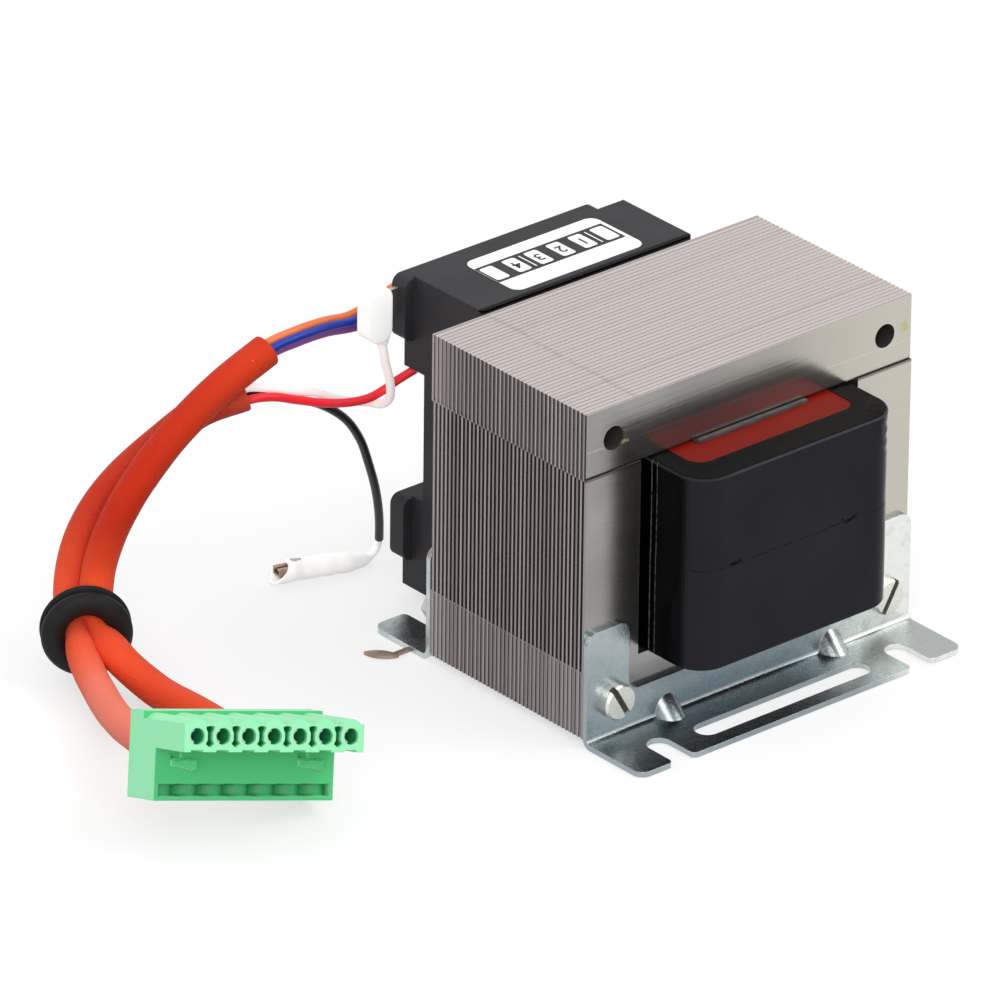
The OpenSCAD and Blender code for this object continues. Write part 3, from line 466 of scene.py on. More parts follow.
def zinc(settings):
    """Zinc plate with blue passivation: clouded patches from blue-grey to greenish, painted paler to the
    right as a painted highlight. The front bracket is painted darker at its left, on the foot and between the
    ears, as painted shade and painted reflections of the dark coil and core."""
    f = Finish("zinc_plate", Metallic=1.0)
    x, y, z = f.place()
    _, _, nz = f.facing()
    cloud, patch, grain = f.noise(0.16, 4.0, 0.6), f.noise(0.45, 5.0, 0.7), f.noise(4, 3.0)
    colour = f.mix(cloud.step(0.38, 0.66), tuple(settings.zinc_colour), (0.66, 0.71, 0.68))
    # painted highlight: paler to the right
    colour = f.mix(x.step(-34, 30) * 0.8, colour, (0.84, 0.86, 0.81))
    colour = f.mix(patch.step(0.48, 0.72) * 0.5, colour, (0.40, 0.46, 0.46))
    ahead = 1 - y.step(-19, -17)
    # painted shade: the front bracket darker at its left, less so higher up
    left = (1 - x.step(-36, -18)) * (0.75 - z.step(12, 24) * 0.38)
    colour = f.mix(ahead * left, colour, (0.27, 0.32, 0.345))
    # painted reflection: the foot's upward faces darker, more so to the right
    foot = nz.step(0.6, 0.9) * (0.35 + x.step(8, 34) * 0.5)
    colour = f.mix(foot * ahead, colour, (0.34, 0.37, 0.37))
    # painted reflection of the dark coil: darker between the ears
    middle = (x + cloud * 8).near(2, 14, 31)
    f.feed(Base_Color=f.mix(ahead * middle * 0.8, colour, (0.20, 0.25, 0.28)))
    f.feed(Roughness=0.16 + patch * 0.20)
    f.relief(grain * 0.3 + patch, 0.06, 0.2)
    return f


def screw_plate():
    """Plated screws: a little yellow and clouded, with a dark olive floor in the slots: the plating's olive
    tint under painted shade.
    """
    f = Finish("screw_plate", Metallic=1.0)
    _, y, _ = f.place()
    _, ny, _ = f.facing()
    grain = f.noise(2.5, 4.0, 0.65)
    # painted shade in the slots over the plating's olive tint
    slot = (1 - ny.step(-0.6, -0.4)) * y.step(-23.1, -22.9) * (1 - y.step(-22, -21.6))
    colour = f.mix(grain.step(0.35, 0.7), (0.80, 0.80, 0.74), (0.62, 0.63, 0.58))
    f.feed(Base_Color=f.mix(slot, colour, (0.10, 0.095, 0.06)))
    f.feed(Roughness=0.26 + grain * 0.2)
    f.relief(grain, 0.05, 0.1)
    return f


def moulded(name, colour, roughness, edge_mm, cloud_share, grain_mm, gloss):
    """Moulded plastic: faint clouds of tone, a fine spark-eroded grain and soft edges."""
    f = Finish(name, Specular_IOR_Level=gloss)
    cloud, grain = f.noise(0.08, 3.0), f.noise(5)
    f.feed(Base_Color=f.mix(cloud.step(0.35, 0.7), colour, scaled(colour, cloud_share)))
    f.feed(Roughness=roughness + grain * 0.12)
    f.relief(grain, grain_mm, edge_mm)
    return f


def housing_skin(settings):
    """The housing's black plastic, in deep shade along the front edge of its top, by the core."""
    f = moulded("housing_plastic", tuple(settings.plastic_colour), 0.50, 0.35, 1.25, 0.05, 0.19)
    _, y, z = f.place()
    edge = (1 - y.step(23.6, 23.9)) * z.step(62.8, 63.1)
    f.feed(Base_Color=f.mix(edge, f.fed("Base Color"), (0.001, 0.001, 0.001)), Metallic=edge)
    return f


def cover_skin(settings):
    """Soft white plastic that light passes into, brightened by a painted glow, with a cut-out near the loose
    cover's mouth.
    """
    # painted glow: a faint emission brightens the white plastic
    f = Finish("cover_plastic", Emission_Color=(1, 0.98, 0.96, 1), Emission_Strength=0.24,
               Subsurface_Weight=0.4, Subsurface_Scale=0.0015, Subsurface_Radius=(1, 0.9, 0.8))
    place = f.place()
    white = tuple(settings.cover)
    cloud = f.noise(0.15, 3.0)
    window = f.spot(place, (-35.9, 59.6, 4.1), 1.0).most(f.spot(place, (-35.0, 59.6, 4.2), 1.0))
    colour = f.mix(cloud.step(0.3, 0.7), white, scaled(white, 0.97))
    f.feed(Base_Color=f.mix(window.step(0.2, 0.6), colour, (0.17, 0.155, 0.095)))
    f.feed(Roughness=0.38 + cloud * 0.1)
    f.relief(cloud - window * 2, 0.10, 0.3)
    return f


def wrap_film(settings):
    """Film: blue-black and smooth. Painted shade makes it black on its folds and on its left side, and
    painted highlights give a paler line along the fold and a paler right rim. The tape's edge runs at
    mid-height, torn in two places, and the pale edges of two layers show where the coil goes into the core."""
    f = Finish("wrap_film", Specular_IOR_Level=0.045)
    place = f.place()
    x, y, z = place
    nx, _, nz = f.facing()
    torn_left, torn_right, crumpled = (-14.8, -34, 33.7), (11.4, -34, 34.3), (21.8, -32, 49.5)
    black, ink = (0.001, 0.001, 0.0012), (0.0008, 0.0008, 0.001)
    cloud, fine = f.noise(0.05, 3.0), f.noise(0.9, 4.0, 0.65)
    scrawl = f.noise((0.8, 0.8, 0.0), 3.0, 0.6) - 0.5
    wander = f.noise((0.15, 0.15, 0.0)) - 0.5
    off = z - settings.seam_height / MM
    line = (off - wander * 0.8).near(0, 0.04, 0.2) * fine.step(0.4, 0.55)
    torn = f.spot(place, torn_left, 2.2).most(f.spot(place, torn_right, 2.6))
    torn = torn * (off - scrawl * 4.5).near(0.3, 0.15, 0.45)
    layer = y.near(-21.3, 0.06, 0.2).most(y.near(-22.7, 0.04, 0.16)) * (1 - x.step(-23.1, -22.9))
    # painted highlight: a paler line along the fold, stronger to the right
    fold = nz.step(0.1, 0.3) * (1 - nz.step(0.75, 0.92)) * (0.25 + x.step(-21, -13) * 0.5)
    colour = f.mix(cloud.step(0.3, 0.7), tuple(settings.film_colour), (0.018, 0.0175, 0.0225))
    # painted shade: the left side is painted black
    colour = f.mix(1 - nx.step(-0.997, -0.90), colour, black)
    # painted highlight: the right rim is painted paler
    colour = f.mix(nx.step(0.45, 0.72) * 0.8, colour, (0.13, 0.12, 0.125))
    # painted shade: the upward faces of the folds are painted black
    colour = f.mix(nz.step(0.7, 0.95) * 0.9, colour, black)
    colour = f.mix(fold, colour, (0.05, 0.05, 0.056))
    colour = f.mix((line * 0.7).most(torn), colour, ink)
    f.feed(Base_Color=f.mix(layer * fine.step(0.3, 0.6) * 0.7, colour, (0.16, 0.16, 0.17)))
    f.feed(Roughness=0.20 + cloud * 0.10 + line * 0.15 + torn * 0.3)
    crumple = f.spot(place, crumpled, 6) * f.noise((0.55, 0.55, 0.3), 3.0, 0.6)
    f.relief(cloud + fine * 0.03 - torn * 0.4 + crumple * 3, 0.25)
    return f


def lead_skin(name, colour):
    """Wire insulation: smooth, with slow changes of tone along it and scuffs; pale ones get a painted glow.
    """
    # painted glow: emission in the lead's own colour, stronger for pale leads
    glow = 0.4 * min(colour)
    f = Finish(name, Specular_IOR_Level=0.3, Emission_Color=(*colour, 1), Emission_Strength=glow)
    tone, scuff = f.noise(0.12, 3.0), f.noise(0.9, 4.0, 0.7)
    dull = tuple(min(1, c * 0.82 + 0.01) for c in colour)
    f.feed(Base_Color=f.mix(tone.step(0.3, 0.7), colour, dull))
    f.feed(Roughness=0.30 + scuff.step(0.5, 0.75) * 0.2)
    f.relief(scuff, 0.04)
    return f


def sleeve_weave(name, colour, ridge, lit_tail, threads):
    """Braided sleeve under a thin coat: crossing diagonal threads with paler ridges, a lighter stretch near
    the floor, a tail towards the plug painted lighter as a painted highlight, and a few white specks."""
    f = Finish(name, Specular_IOR_Level=0.12, Sheen_Weight=0.04, Sheen_Roughness=0.4)
    u, v, _ = f.split(f.node("ShaderNodeUVMap", {"uv_map": "along"}))
    _, y, z = f.place()
    turns = 2 * math.pi * threads
    braid = ((u + v) * turns).math("SINE") * ((u - v) * turns).math("SINE") * 0.5 + 0.5
    fray, tone = f.noise(1.2, 4.0, 0.65), f.noise(0.07, 3.0)
    speck = f.noise(2.3, 1.0).step(0.81, 0.83)
    body = f.mix(tone.step(0.3, 0.7), colour, scaled(colour, 0.88))
    body = f.mix(1 - z.step(12, 30), body, (0.86, 0.080, 0.024))
    # painted highlight: the tail towards the plug is painted lighter
    body = f.mix(1 - y.step(36, 54), body, lit_tail)
    body = f.mix(braid * fray * 0.45, body, ridge)
    f.feed(Base_Color=f.mix(speck * 0.6, body, (0.85, 0.60, 0.50)))
    f.feed(Roughness=0.50 + fray * 0.2)
    f.relief(braid * 0.7 + fray * 0.5, 0.12)
    return f


def plain(name, colour, roughness, metallic=0.0, edge_mm=0.0, mottle=0.8, gloss=0.5):
    """A plain surface with clouds of another tone and fine pits."""
    f = Finish(name, Metallic=metallic, Specular_IOR_Level=gloss)
    cloud, pit = f.noise(0.4, 4.0, 0.6), f.noise(3)
    f.feed(Base_Color=f.mix(cloud.step(0.35, 0.7), colour, scaled(colour, mottle)))
    f.feed(Roughness=roughness + cloud * 0.15)
    f.relief(pit, 0.03, edge_mm)
    return f


# Settings

def a_length(name, description, default):
    """A length in metres."""
    return bpy.props.FloatProperty(
        name=name, description=description, default=default, min=0, unit="LENGTH", precision=5)


def a_colour(name, description, default):
    """A colour in linear light."""
    return bpy.props.FloatVectorProperty(
        name=name, description=description, default=default, size=3, min=0, max=1, subtype="COLOR")


def a_number(name, description, default, least, most, unit="NONE"):
    """A plain number, or a power or a focal length by its unit."""
    return bpy.props.FloatProperty(
        name=name, description=description, default=default, min=least, max=most, unit=unit)


class CoreSettings(bpy.types.PropertyGroup):
    """Looks of the sheet stack and of the plated steel."""
    sheet: a_length("Sheet", "Thickness of one sheet", 0.041 / 78)
    face_colour: a_colour("Face", "Colour of the sheets' flat faces", (0.295, 0.287, 0.27))
    zinc_colour: a_colour("Zinc", "Colour of the plated brackets", (0.52, 0.58, 0.60))


class CoilSettings(bpy.types.PropertyGroup):
    """Looks of the wrapped coil."""
    seam_height: a_length("Seam height", "Height of the tape's edge above the floor", 0.0336)
    edge_round: a_length("Edge", "Radius of the wrap's folded edges", 0.0006)
    film_colour: a_colour("Film", "Colour of the wrap", (0.0145, 0.014, 0.0180))
    former_colour: a_colour("Former", "Colour of the moulded winding former", (0.215, 0.0095, 0.0045))


class HousingSettings(bpy.types.PropertyGroup):
    """Looks of the terminal housing and its plate."""
    plastic_colour: a_colour("Plastic", "Colour of the housing", (0.028, 0.0265, 0.030))
    plate_length: a_length("Plate length", "Length of the numbered plate", 0.030)
    plate_depth: a_length("Plate depth", "Depth of the numbered plate", 0.0145)


class LeadSettings(bpy.types.PropertyGroup):
    """Sizes and colours of the lead set."""
    lead: a_length("Lead", "Diameter of the single leads", 0.0016)
    upper: a_length("Upper sleeve", "Diameter of the upper sleeve", 0.0060)
    lower: a_length("Lower sleeve", "Diameter of the lower sleeve", 0.0058)
    orange: a_colour("Orange", "Colour of the orange lead", (0.86, 0.19, 0.05))
    blue: a_colour("Blue", "Colour of the blue lead", (0.010, 0.035, 0.36))
    violet: a_colour("Violet", "Colour of the violet lead", (0.27, 0.07, 0.31))
    red: a_colour("Red", "Colour of the red lead", (1.0, 0.020, 0.036))
    white: a_colour("White", "Colour of the white lead", (0.90, 0.83, 0.82))
    black: a_colour("Black", "Colour of the black lead", (0.02, 0.019, 0.019))
    cover: a_colour("Cover", "Colour of the terminals' covers", (0.95, 0.94, 0.925))
    sleeve: a_colour("Sleeve", "Colour of the sleeves", (0.56, 0.022, 0.004))


class PlugSettings(bpy.types.PropertyGroup):
    """Looks of the plug."""
    green: a_colour("Plug", "Colour of the plug", (0.30, 0.83, 0.45))


class StageSettings(bpy.types.PropertyGroup):
    """Floor, light and camera."""
    floor: a_length("Floor", "Half width of the floor", 3.0)
    sky: a_number("Sky", "Strength of the light from all round", 0.95, 0, 2)
    key: a_number("Lamps", "Power of each of the two lamps", 7.0, 0, 50, "POWER")
    lens: a_number("Lens", "Focal length", 466.82, 20, 900, "CAMERA")


# Pieces

class TRANSFORMER_OT_core(bpy.types.Operator):
    """Finish the stack of sheets and the wedges"""
    bl_idname = "transformer.core"
    bl_label = "Core"

    def execute(self, context):
        settings = context.scene.transformer_core
        wear(core_steel(settings), ["e_laminations", "i_bars_top", "i_bars_bottom"])
        wear(plain("wedge_board", (0.12, 0.102, 0.10), 0.4, 0.3, 0.1, 0.6), ["core_wedges"])
        return {"FINISHED"}


class TRANSFORMER_OT_brackets(bpy.types.Operator):
    """Finish the brackets, the clamp screws, the tag and the loose terminal"""
    bl_idname = "transformer.brackets"
    bl_label = "Brackets and screws"

    def execute(self, context):
        settings = context.scene.transformer_core
        wear(zinc(settings), ["front_bracket", "rear_bracket", "lock_washers"])
        wear(screw_plate(), ["clamp_screws", "clamp_nuts"])
        wear(plain("tag_metal", (0.46, 0.33, 0.26), 0.4, 0.8, 0.1, 0.6), ["earth_tag", "loose_terminal"])
        return {"FINISHED"}


def wrap_surface(settings):
    """The film round the coil: a rounded rectangle carried from the inner edge of the upper fold, over a
    round edge, down the side and round to the lower fold. The side sinks and swells a little,
    P = L(u) + N(u) d(u, z), and stands a film's thickness further out below the tape's edge."""
    half, corner, foot, top = (23.3, 34.0), 6.0, 14.1, 51.4
    lip, inset, film = (4.8, 6.3), 0.02, 0.05
    crease_turn, crease_z = -0.97, 47
    edge = settings.edge_round / MM
    outer, out = round_loop(*half, corner)
    inner, _ = round_loop(half[0] - lip[0], half[1] - lip[1], corner / 2)
    shelf, _ = round_loop(half[0] - edge, half[1] - edge, corner - edge)
    share = np.concatenate([[0, 0], np.linspace(0.02, 1, 14)])[:, None, None]
    upper = inner[None] * (1 - share) + shelf[None] * share
    rise = np.concatenate([[-0.28, -0.06], 0.08 * np.sin(np.linspace(0, np.pi, 14))**2])
    upper_z = np.broadcast_to((top - inset + rise)[:, None], upper.shape[:2])
    quarter = np.linspace(0, np.pi / 2, 8)
    roll = outer[None] - out[None] * (edge * (1 - np.sin(quarter)))[:, None, None]
    roll_z = np.broadcast_to((top - inset - edge * (1 - np.cos(quarter)))[:, None], roll.shape[:2])
    z = np.linspace(top - inset - edge, foot + inset + edge, 90)[1:-1, None]
    girth = np.arctan2(outer[:, 1], outer[:, 0])[None]
    seam = settings.seam_height / MM + 0.25 * np.sin(girth * 3.0 + 0.6)
    swell = -0.06 - 0.05 * np.sin(girth * 5 + z * 0.11) * np.sin(z * 0.16 + girth)
    below_seam = film / (1 + np.exp((z - seam) / 0.05))
    crease = np.exp(-((girth - crease_turn) / 0.07)**2) * np.exp(-((z - crease_z) / 4)**2)
    sink = swell + below_seam - 0.22 * crease * (0.5 + 0.5 * np.sin(z * 2.6 + girth * 25))
    side = outer[None] + out[None] * sink[:, :, None]
    side_z = np.broadcast_to(z, sink.shape)
    xy = np.concatenate([upper, roll, side, roll[::-1], upper[::-1]])
    low_z = foot + top - np.concatenate([roll_z[::-1], upper_z[::-1]])
    height = np.concatenate([upper_z, roll_z, side_z, low_z])
    return np.concatenate([xy, height[:, :, None]], 2)


class TRANSFORMER_OT_coil(bpy.types.Operator):
    """Wrap the coil in its film and finish the former and the windings"""
    bl_idname = "transformer.coil"
    bl_label = "Coil"

    def execute(self, context):
        settings = context.scene.transformer_coil
        grid = wrap_surface(settings)
        rows, cols = grid.shape[:2]
        faces = grid_faces(rows, cols, True)[:, ::-1]
        wrap = piece("coil_film", grid, faces, sharp=60)
        wrap.data.materials.append(wrap_film(settings).material)
        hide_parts("coil_wrap")
        red = tuple(settings.former_colour)
        wear(moulded("former_plastic", red, 0.34, 0.2, 0.85, 0.03, 0.08), ["winding_former"])
        wear(plain("winding_copper", (0.55, 0.22, 0.09), 0.3, 0.9), ["primary_winding", "secondary_winding"])
        wear(plain("insulation_film", (0.62, 0.5, 0.2), 0.4), ["winding_insulation"])
        return {"FINISHED"}


class TRANSFORMER_OT_housing(bpy.types.Operator):
    """Finish the terminal housing and its tabs, and lay the numbered plate on it"""
    bl_idname = "transformer.housing"
    bl_label = "Terminal housing"

    def execute(self, context):
        settings = context.scene.transformer_housing
        tin = plain("tinned_brass", (0.60, 0.58, 0.52), 0.3, 1.0, 0.08)
        wear(housing_skin(settings), ["terminal_housing"])
        wear(tin, ["upper_tabs", "lower_tabs", "side_tab", "flag_terminal"])
        middle, corner, thick = (0.5, 32.25), 2.0, 0.08
        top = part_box("terminal_housing")[1].z / MM
        half = (settings.plate_length / MM / 2, settings.plate_depth / MM / 2)
        loop, _ = round_loop(*half, corner, 6, 8)
        loop = loop + middle
        n = len(loop)
        grid = grid_of(loop[None, :, 0], loop[None, :, 1], np.array([[top], [top + thick]]))
        plate = piece("number_plate", grid, grid_faces(2, n), end_caps(2, n), sharp=30)
        white = plain("plate_white", (0.90, 0.895, 0.89), 0.35, 0.0, 0.0, 0.96).material
        ink = plain("plate_ink", (0.012, 0.012, 0.013), 0.5).material
        plate.data.materials.append(white)
        self.print_plate(top + thick, middle[0] - half[0], white, ink)
        return {"FINISHED"}

    def shapes(self, name, outlines, z, material):
        """Flat outlines at one height: one face for each row of points."""
        count, n = outlines.shape[:2]
        points = grid_of(outlines[:, :, 0], outlines[:, :, 1], z)
        made = piece(name, points, np.arange(count * n).reshape(count, n))
        made.data.materials.append(material)

    def print_plate(self, z, left, white, ink):
        """A dark band with six white fields in a row and two division lines; the inner four fields carry
        plain numerals that are read from behind. Each layer of print lies a little above the last."""
        pitch, row_y, field, band, divider = 5.08, 33.0, (2.9, 5.4), (29.2, 6.8), (0.28, 5.0)
        band_z, field_z, numeral_z = z + 0.02, z + 0.035, z + 0.05
        x = (np.arange(6) - 2.5) * pitch
        corner = np.array([(0, -0.5), (1, -0.5), (1, 0.5), (0, 0.5)])
        self.shapes("plate_band", (corner * band + (left, row_y))[None], band_z, ink)
        loop, _ = round_loop(field[0] / 2, field[1] / 2, 0.55, 4, 5)
        centres = np.stack([x, np.full(6, row_y)], 1)
        self.shapes("plate_fields", loop[None] + centres[:, None], field_z, white)
        line = (corner - (0.5, 0)) * divider
        divisions = np.array([(-pitch, row_y), (2 * pitch, row_y)])
        self.shapes("plate_lines", line[None] + divisions[:, None], field_z, white)
        for digit, at in zip("4321", x[1:5]):
            self.numeral(digit, (at * MM, row_y * MM, numeral_z * MM), ink)

    def numeral(self, digit, at, ink):
        """One numeral, made a mesh, turned half round and put in its place."""
        text = bpy.data.curves.new("numeral_" + digit, "FONT")
        text.body = digit
        text.size = 3.5 * MM
        text.offset = 0.05 * MM
        text.align_x = "CENTER"
        text.align_y = "CENTER"
        source = bpy.data.objects.new("numeral_source", text)
        mesh = bpy.data.meshes.new_from_object(source)
        bpy.data.objects.remove(source)
        mesh.transform(Matrix.Translation(at) @ Matrix.Rotation(math.pi, 4, "Z"))
        mesh.materials.clear()
        mesh.materials.append(ink)
        placed("plate_numeral_" + digit, mesh)


def into_sleeve(route, sleeve, depth):
    """A lead's route, carried on into the mouth of a sleeve, along the sleeve's first span."""
    inward = unit(np.asarray(sleeve[1], float) - np.asarray(sleeve[0], float))
    return np.vstack([route, np.asarray(route[-1], float) + inward * depth])


class TRANSFORMER_OT_leads(bpy.types.Operator):
    """Lay the single leads"""
    bl_idname = "transformer.leads"
    bl_label = "Leads"

    def execute(self, context):
        settings = context.scene.transformer_leads
        for tint in ("orange", "blue", "violet"):
            self.lead(settings, tint, "sleeve_upper", UP, "object", [])
        for tint in ("red", "white"):
            self.lead(settings, tint, "sleeve_lower", BACK, "object", [])
        on_black = [NODES["loose_terminal"], bpy.data.objects["terminal_cover_loose"]]
        self.lead(settings, "black", None, BACK, "connector", on_black)
        return {"FINISHED"}

    def lead(self, settings, tint, sleeve, reference, far, with_pieces):
        """A round tube along a lead's route, which runs on into its sleeve where it has one."""
        name, into, ring_step = "lead_" + tint, 4.0, 0.35
        route = into_sleeve(ROUTES[name], ROUTES[sleeve], into) if sleeve else ROUTES[name]
        line = spline(route)
        length = arc_length(line)[-1]
        stations = np.linspace(0, length, int(length / ring_step))
        radii = np.full(len(stations), settings.lead / MM / 2)
        thing = tube_piece("wire_" + tint, line, stations, radii, 20, reference)
        thing.data.materials.append(lead_skin(name, tuple(getattr(settings, tint))).material)
        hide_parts(name)
        [c * MM for c in route[0]]


class TRANSFORMER_OT_sleeves(bpy.types.Operator):
    """Draw both braided sleeves, open at the mouth where the leads go in"""
    bl_idname = "transformer.sleeves"
    bl_label = "Sleeves"

    def execute(self, context):
        settings = context.scene.transformer_leads
        base = tuple(settings.sleeve)
        upper = sleeve_weave("sleeve_upper", base, (0.74, 0.080, 0.022), (0.80, 0.072, 0.022), 26)
        on_upper = [bpy.data.objects["plug_shell"], bpy.data.objects["plug_springs"],
                    NODES["plug_clamp_screws"], bpy.data.objects["grommet_ring"]]
        self.sleeve("sleeve_upper", settings.upper, upper, "plug", on_upper)
        lower = sleeve_weave("sleeve_lower", base, (0.86, 0.18, 0.10), (0.90, 0.22, 0.145), 30)
        self.sleeve("sleeve_lower", settings.lower, lower, "object", [])
        return {"FINISHED"}

    def sleeve(self, name, diameter, finish, far, with_pieces):
        """A tube from the bottom of its mouth out over the rim and on to the plug, drawn in at the
        grommet."""
        radius, wall, depth, ring_step = diameter / MM / 2, 0.55, 6.0, 0.45
        line = spline(ROUTES[name])
        s = arc_length(line)
        pinch_at = s[GROMMET_POINT * PER_SPAN]
        mouth_s = np.array([depth, 0.4, 0.12, 0.0, 0.0, 0.12, 0.4])
        mouth_r = radius - np.array([wall, wall, wall * 0.85, wall * 0.6, wall * 0.4, wall * 0.15, 0.0])
        body_s = np.arange(0.8, s[-1], ring_step)
        pinch = 1 - 0.26 * np.exp(-((body_s - pinch_at) / 3.0)**2)
        limp = 1 + 0.018 * np.sin(body_s * 0.33) * np.sin(body_s * 0.17 + 1.0)
        stations = np.concatenate([mouth_s, body_s, s[-1:]])
        radii = np.concatenate([mouth_r, radius * np.minimum(pinch * limp, 1.0), [radius]])
        braid = name.replace("sleeve", "braid")
        thing = tube_piece(braid, line, stations, radii, 40, (1.0, -1.0, 0.0))
        thing.data.materials.append(finish.material)
        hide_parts(name)


class TRANSFORMER_OT_grommet(bpy.types.Operator):
    """Turn the rubber grommet that holds both sleeves"""
    bl_idname = "transformer.grommet"
    bl_label = "Grommet"

    def execute(self, context):
        sides = 96
        front = np.linspace(-1.05, np.pi, 40)[:, None]
        rear = np.linspace(np.pi, 2 * np.pi + 1.0, 26)[:, None]
        lip = np.array((5.95, 0.95)) + np.hstack([2.15 * np.cos(front), 1.45 * np.sin(front)])
        flange = np.array((6.7, -1.85)) + np.hstack([1.4 * np.cos(rear), 0.55 * np.sin(rear)])
        groove = [(6.9, -1.2), (6.9, -0.5)]
        profile = np.vstack([lip, flange, groove])
        grid = revolve(profile, GROMMET_AT, GROMMET_AXIS, sides)
        faces = grid_faces(len(profile), sides, True)
        ring = piece("grommet_ring", grid, faces, sharp=60)
        rubber = plain("grommet_rubber", (0.007, 0.0068, 0.007), 0.45, 0.0, 0.0, 1.4, 0.2)
        ring.data.materials.append(rubber.material)
        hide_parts("grommet")
        return {"FINISHED"}


def on_plug(points):
    """Points of the plug's own frame put in their place: turned about X, then Y, then Z, and moved."""
    a, b, c = np.radians(PLUG_TURN)
    about_x = np.array([[1, 0, 0], [0, np.cos(a), -np.sin(a)], [0, np.sin(a), np.cos(a)]])
    about_y = np.array([[np.cos(b), 0, np.sin(b)], [0, 1, 0], [-np.sin(b), 0, np.cos(b)]])
    about_z = np.array([[np.cos(c), -np.sin(c), 0], [np.sin(c), np.cos(c), 0], [0, 0, 1]])
    return points @ (about_z @ about_y @ about_x).T + PLUG_AT


def inside(distance):
    """1 inside an outline, 0 outside, from the distance to it; the edge is a tenth of a millimetre wide."""
    return np.clip(distance / 0.1 + 0.5, 0, 1)


def plug_shell():
    """The plug as a closed outline of its depth and height carried along its row. The foot's front sinks in
    a long window, over a rounded rib for each pole, and swells in two hooks over notches. The nose reaches
    from a toothed lower edge to arches, the height of a circle over each pole, and sinks in round contact
    openings and in the coding slots between them. The rear and the underside sink in the wire and the clamp
    openings."""
    half, pitch = POLES * POLE_PITCH / 2, POLE_PITCH
    depth, foot, rim, top = 18.2, 8.8, 4.4, 15.0
    nose_z, tooth, tooth_half = 9.0, 0.35, 1.2
    arch_z, arch_r, valley_z = 12.4, 2.3, 13.75
    window_z, window_half, window_left, window_right = 1.75, 1.0, 0.9, 0.4
    hook_x, hook_z, hook_half, hook_length, notch_z = 0.355 * 2 * half, 6.5, 0.45, 4.2, 7.75
    x = np.linspace(-half, half, 460)[:, None]
    off = x - np.round(x / pitch) * pitch
    low = nose_z + tooth * (np.abs(off) < tooth_half)
    high = np.maximum(valley_z, arch_z + np.sqrt(np.maximum(0, arch_r**2 - off**2)))
    z = low * np.linspace(0, 1, 50)
    window = inside(window_half - np.abs(z - window_z))
    window = window * inside(np.minimum(x + half - window_left, half - window_right - x))
    along = (x - hook_x * np.where(x < 0, -1, 1)) / hook_length + 0.5
    hook = inside(hook_length * np.minimum(along, 1 - along))
    hook = hook * inside(hook_half + 0.55 * along - np.abs(z - hook_z + 0.35 * along)) * (0.2 + 0.8 * along)
    notch = inside(hook_length * np.minimum(along, 0.5 - along)) * inside(hook_half - np.abs(z - notch_z))
    rib = 1.1 + 1.5 * (off / pitch * 2)**2
    foot_front = grid_of(x, -foot + window * rib - 1.9 * hook + 0.9 * notch, z)
    z = low + (high - low) * np.linspace(0, 1, 88)
    opening = inside(1.34 - np.hypot(off, z - PIN_Z))
    slot_z = [9.7, 10.4, 11.0, 12.3, 12.9, 13.3, 13.5]
    slot_half = np.interp(z, slot_z, [-0.2, 0.75, 0.40, 0.40, 0.72, 0.70, -0.2])
    slot = inside(slot_half - (pitch / 2 - np.abs(off))) * (np.abs(x) < half - pitch / 2)
    nose_front = grid_of(x, -depth + 7.0 * opening + 3.0 * slot * (1 - opening), z)
    rim_front = grid_of(x, -rim, high + (top - high) * np.linspace(0, 1, 4))
    z = np.linspace(top, 0, 46)[None]
    rear = grid_of(x, -5.3 * inside(1.6 - np.hypot(off, z - 6.5)), z)
    y = np.linspace(0, -foot, 28)[None, 1:-1]
    under = grid_of(x, y, 3.0 * inside(1.8 - np.hypot(off, y + foot / 2)))
    return on_plug(np.concatenate([foot_front, nose_front, rim_front, rear, under], 1))


def plug_springs():
    """Half rings of sheet in the contact openings: a rectangle carried round the left half of each circle."""
    outer, inner, tip, root = 1.33, 0.92, -17.5, -11.4
    turn = np.radians(np.linspace(105, 255, 25))[None, :, None]
    radius = np.array([outer, outer, inner, inner])
    y = np.array([tip, root, root, tip])
    pole = ((np.arange(POLES) - (POLES - 1) / 2) * POLE_PITCH)[:, None, None]
    return on_plug(grid_of(pole + radius * np.cos(turn), y, PIN_Z + radius * np.sin(turn)))


def plug_skin(green):
    """Moulded green plastic, milky where light reaches it, with painted shade: deep green on the faces set
    back behind the nose and deeper still in the window and in the openings."""
    f = Finish("plug_plastic", Specular_IOR_Level=0.4)
    at = f.node("ShaderNodeTexCoord", output="Object")
    turn = tuple(math.radians(a) for a in PLUG_TURN)
    inputs = {"Vector": at, "Location": scaled(PLUG_AT, MM), "Rotation": turn, "Scale": (MM, MM, MM)}
    x, y, z = f.split(f.node("ShaderNodeMapping", {"vector_type": "TEXTURE"}, inputs))
    nx, ny, nz = f.facing()
    ahead = [float(c) for c in on_plug(np.array([0.0, -1.0, 0.0])) - PLUG_AT]
    front = (nx * ahead[0] + ny * ahead[1] + nz * ahead[2]).step(0.3, 0.7)
    back = front * y.step(-17.6, -16.5)
    within = 1 - abs(x).step(17.2, 17.5)
    deep = y.step(-8.7, -7.2) * (1 - y.step(-5.4, -4.4)) * z.between(0.6, 2.9, 0.2)
    holes = y.step(-18.1, -17.2) * (1 - y.step(-9.5, -9)) * z.between(9.7, 13.5, 0.2)
    grain, cloud = f.noise(5), f.noise(0.08, 3.0)
    body = f.mix(cloud.step(0.3, 0.7), green, scaled(green, 0.95))
    # painted shade: the faces set back behind the nose are deep green
    body = f.mix(back, body, (0.066, 0.53, 0.185))
    # painted shade: deeper green in the window and in the openings
    f.feed(Base_Color=f.mix(within * deep.most(holes), body, (0.018, 0.30, 0.10)))
    f.feed(Roughness=0.36 + grain * 0.12)
    f.relief(grain, 0.02, 0.15)
    return f


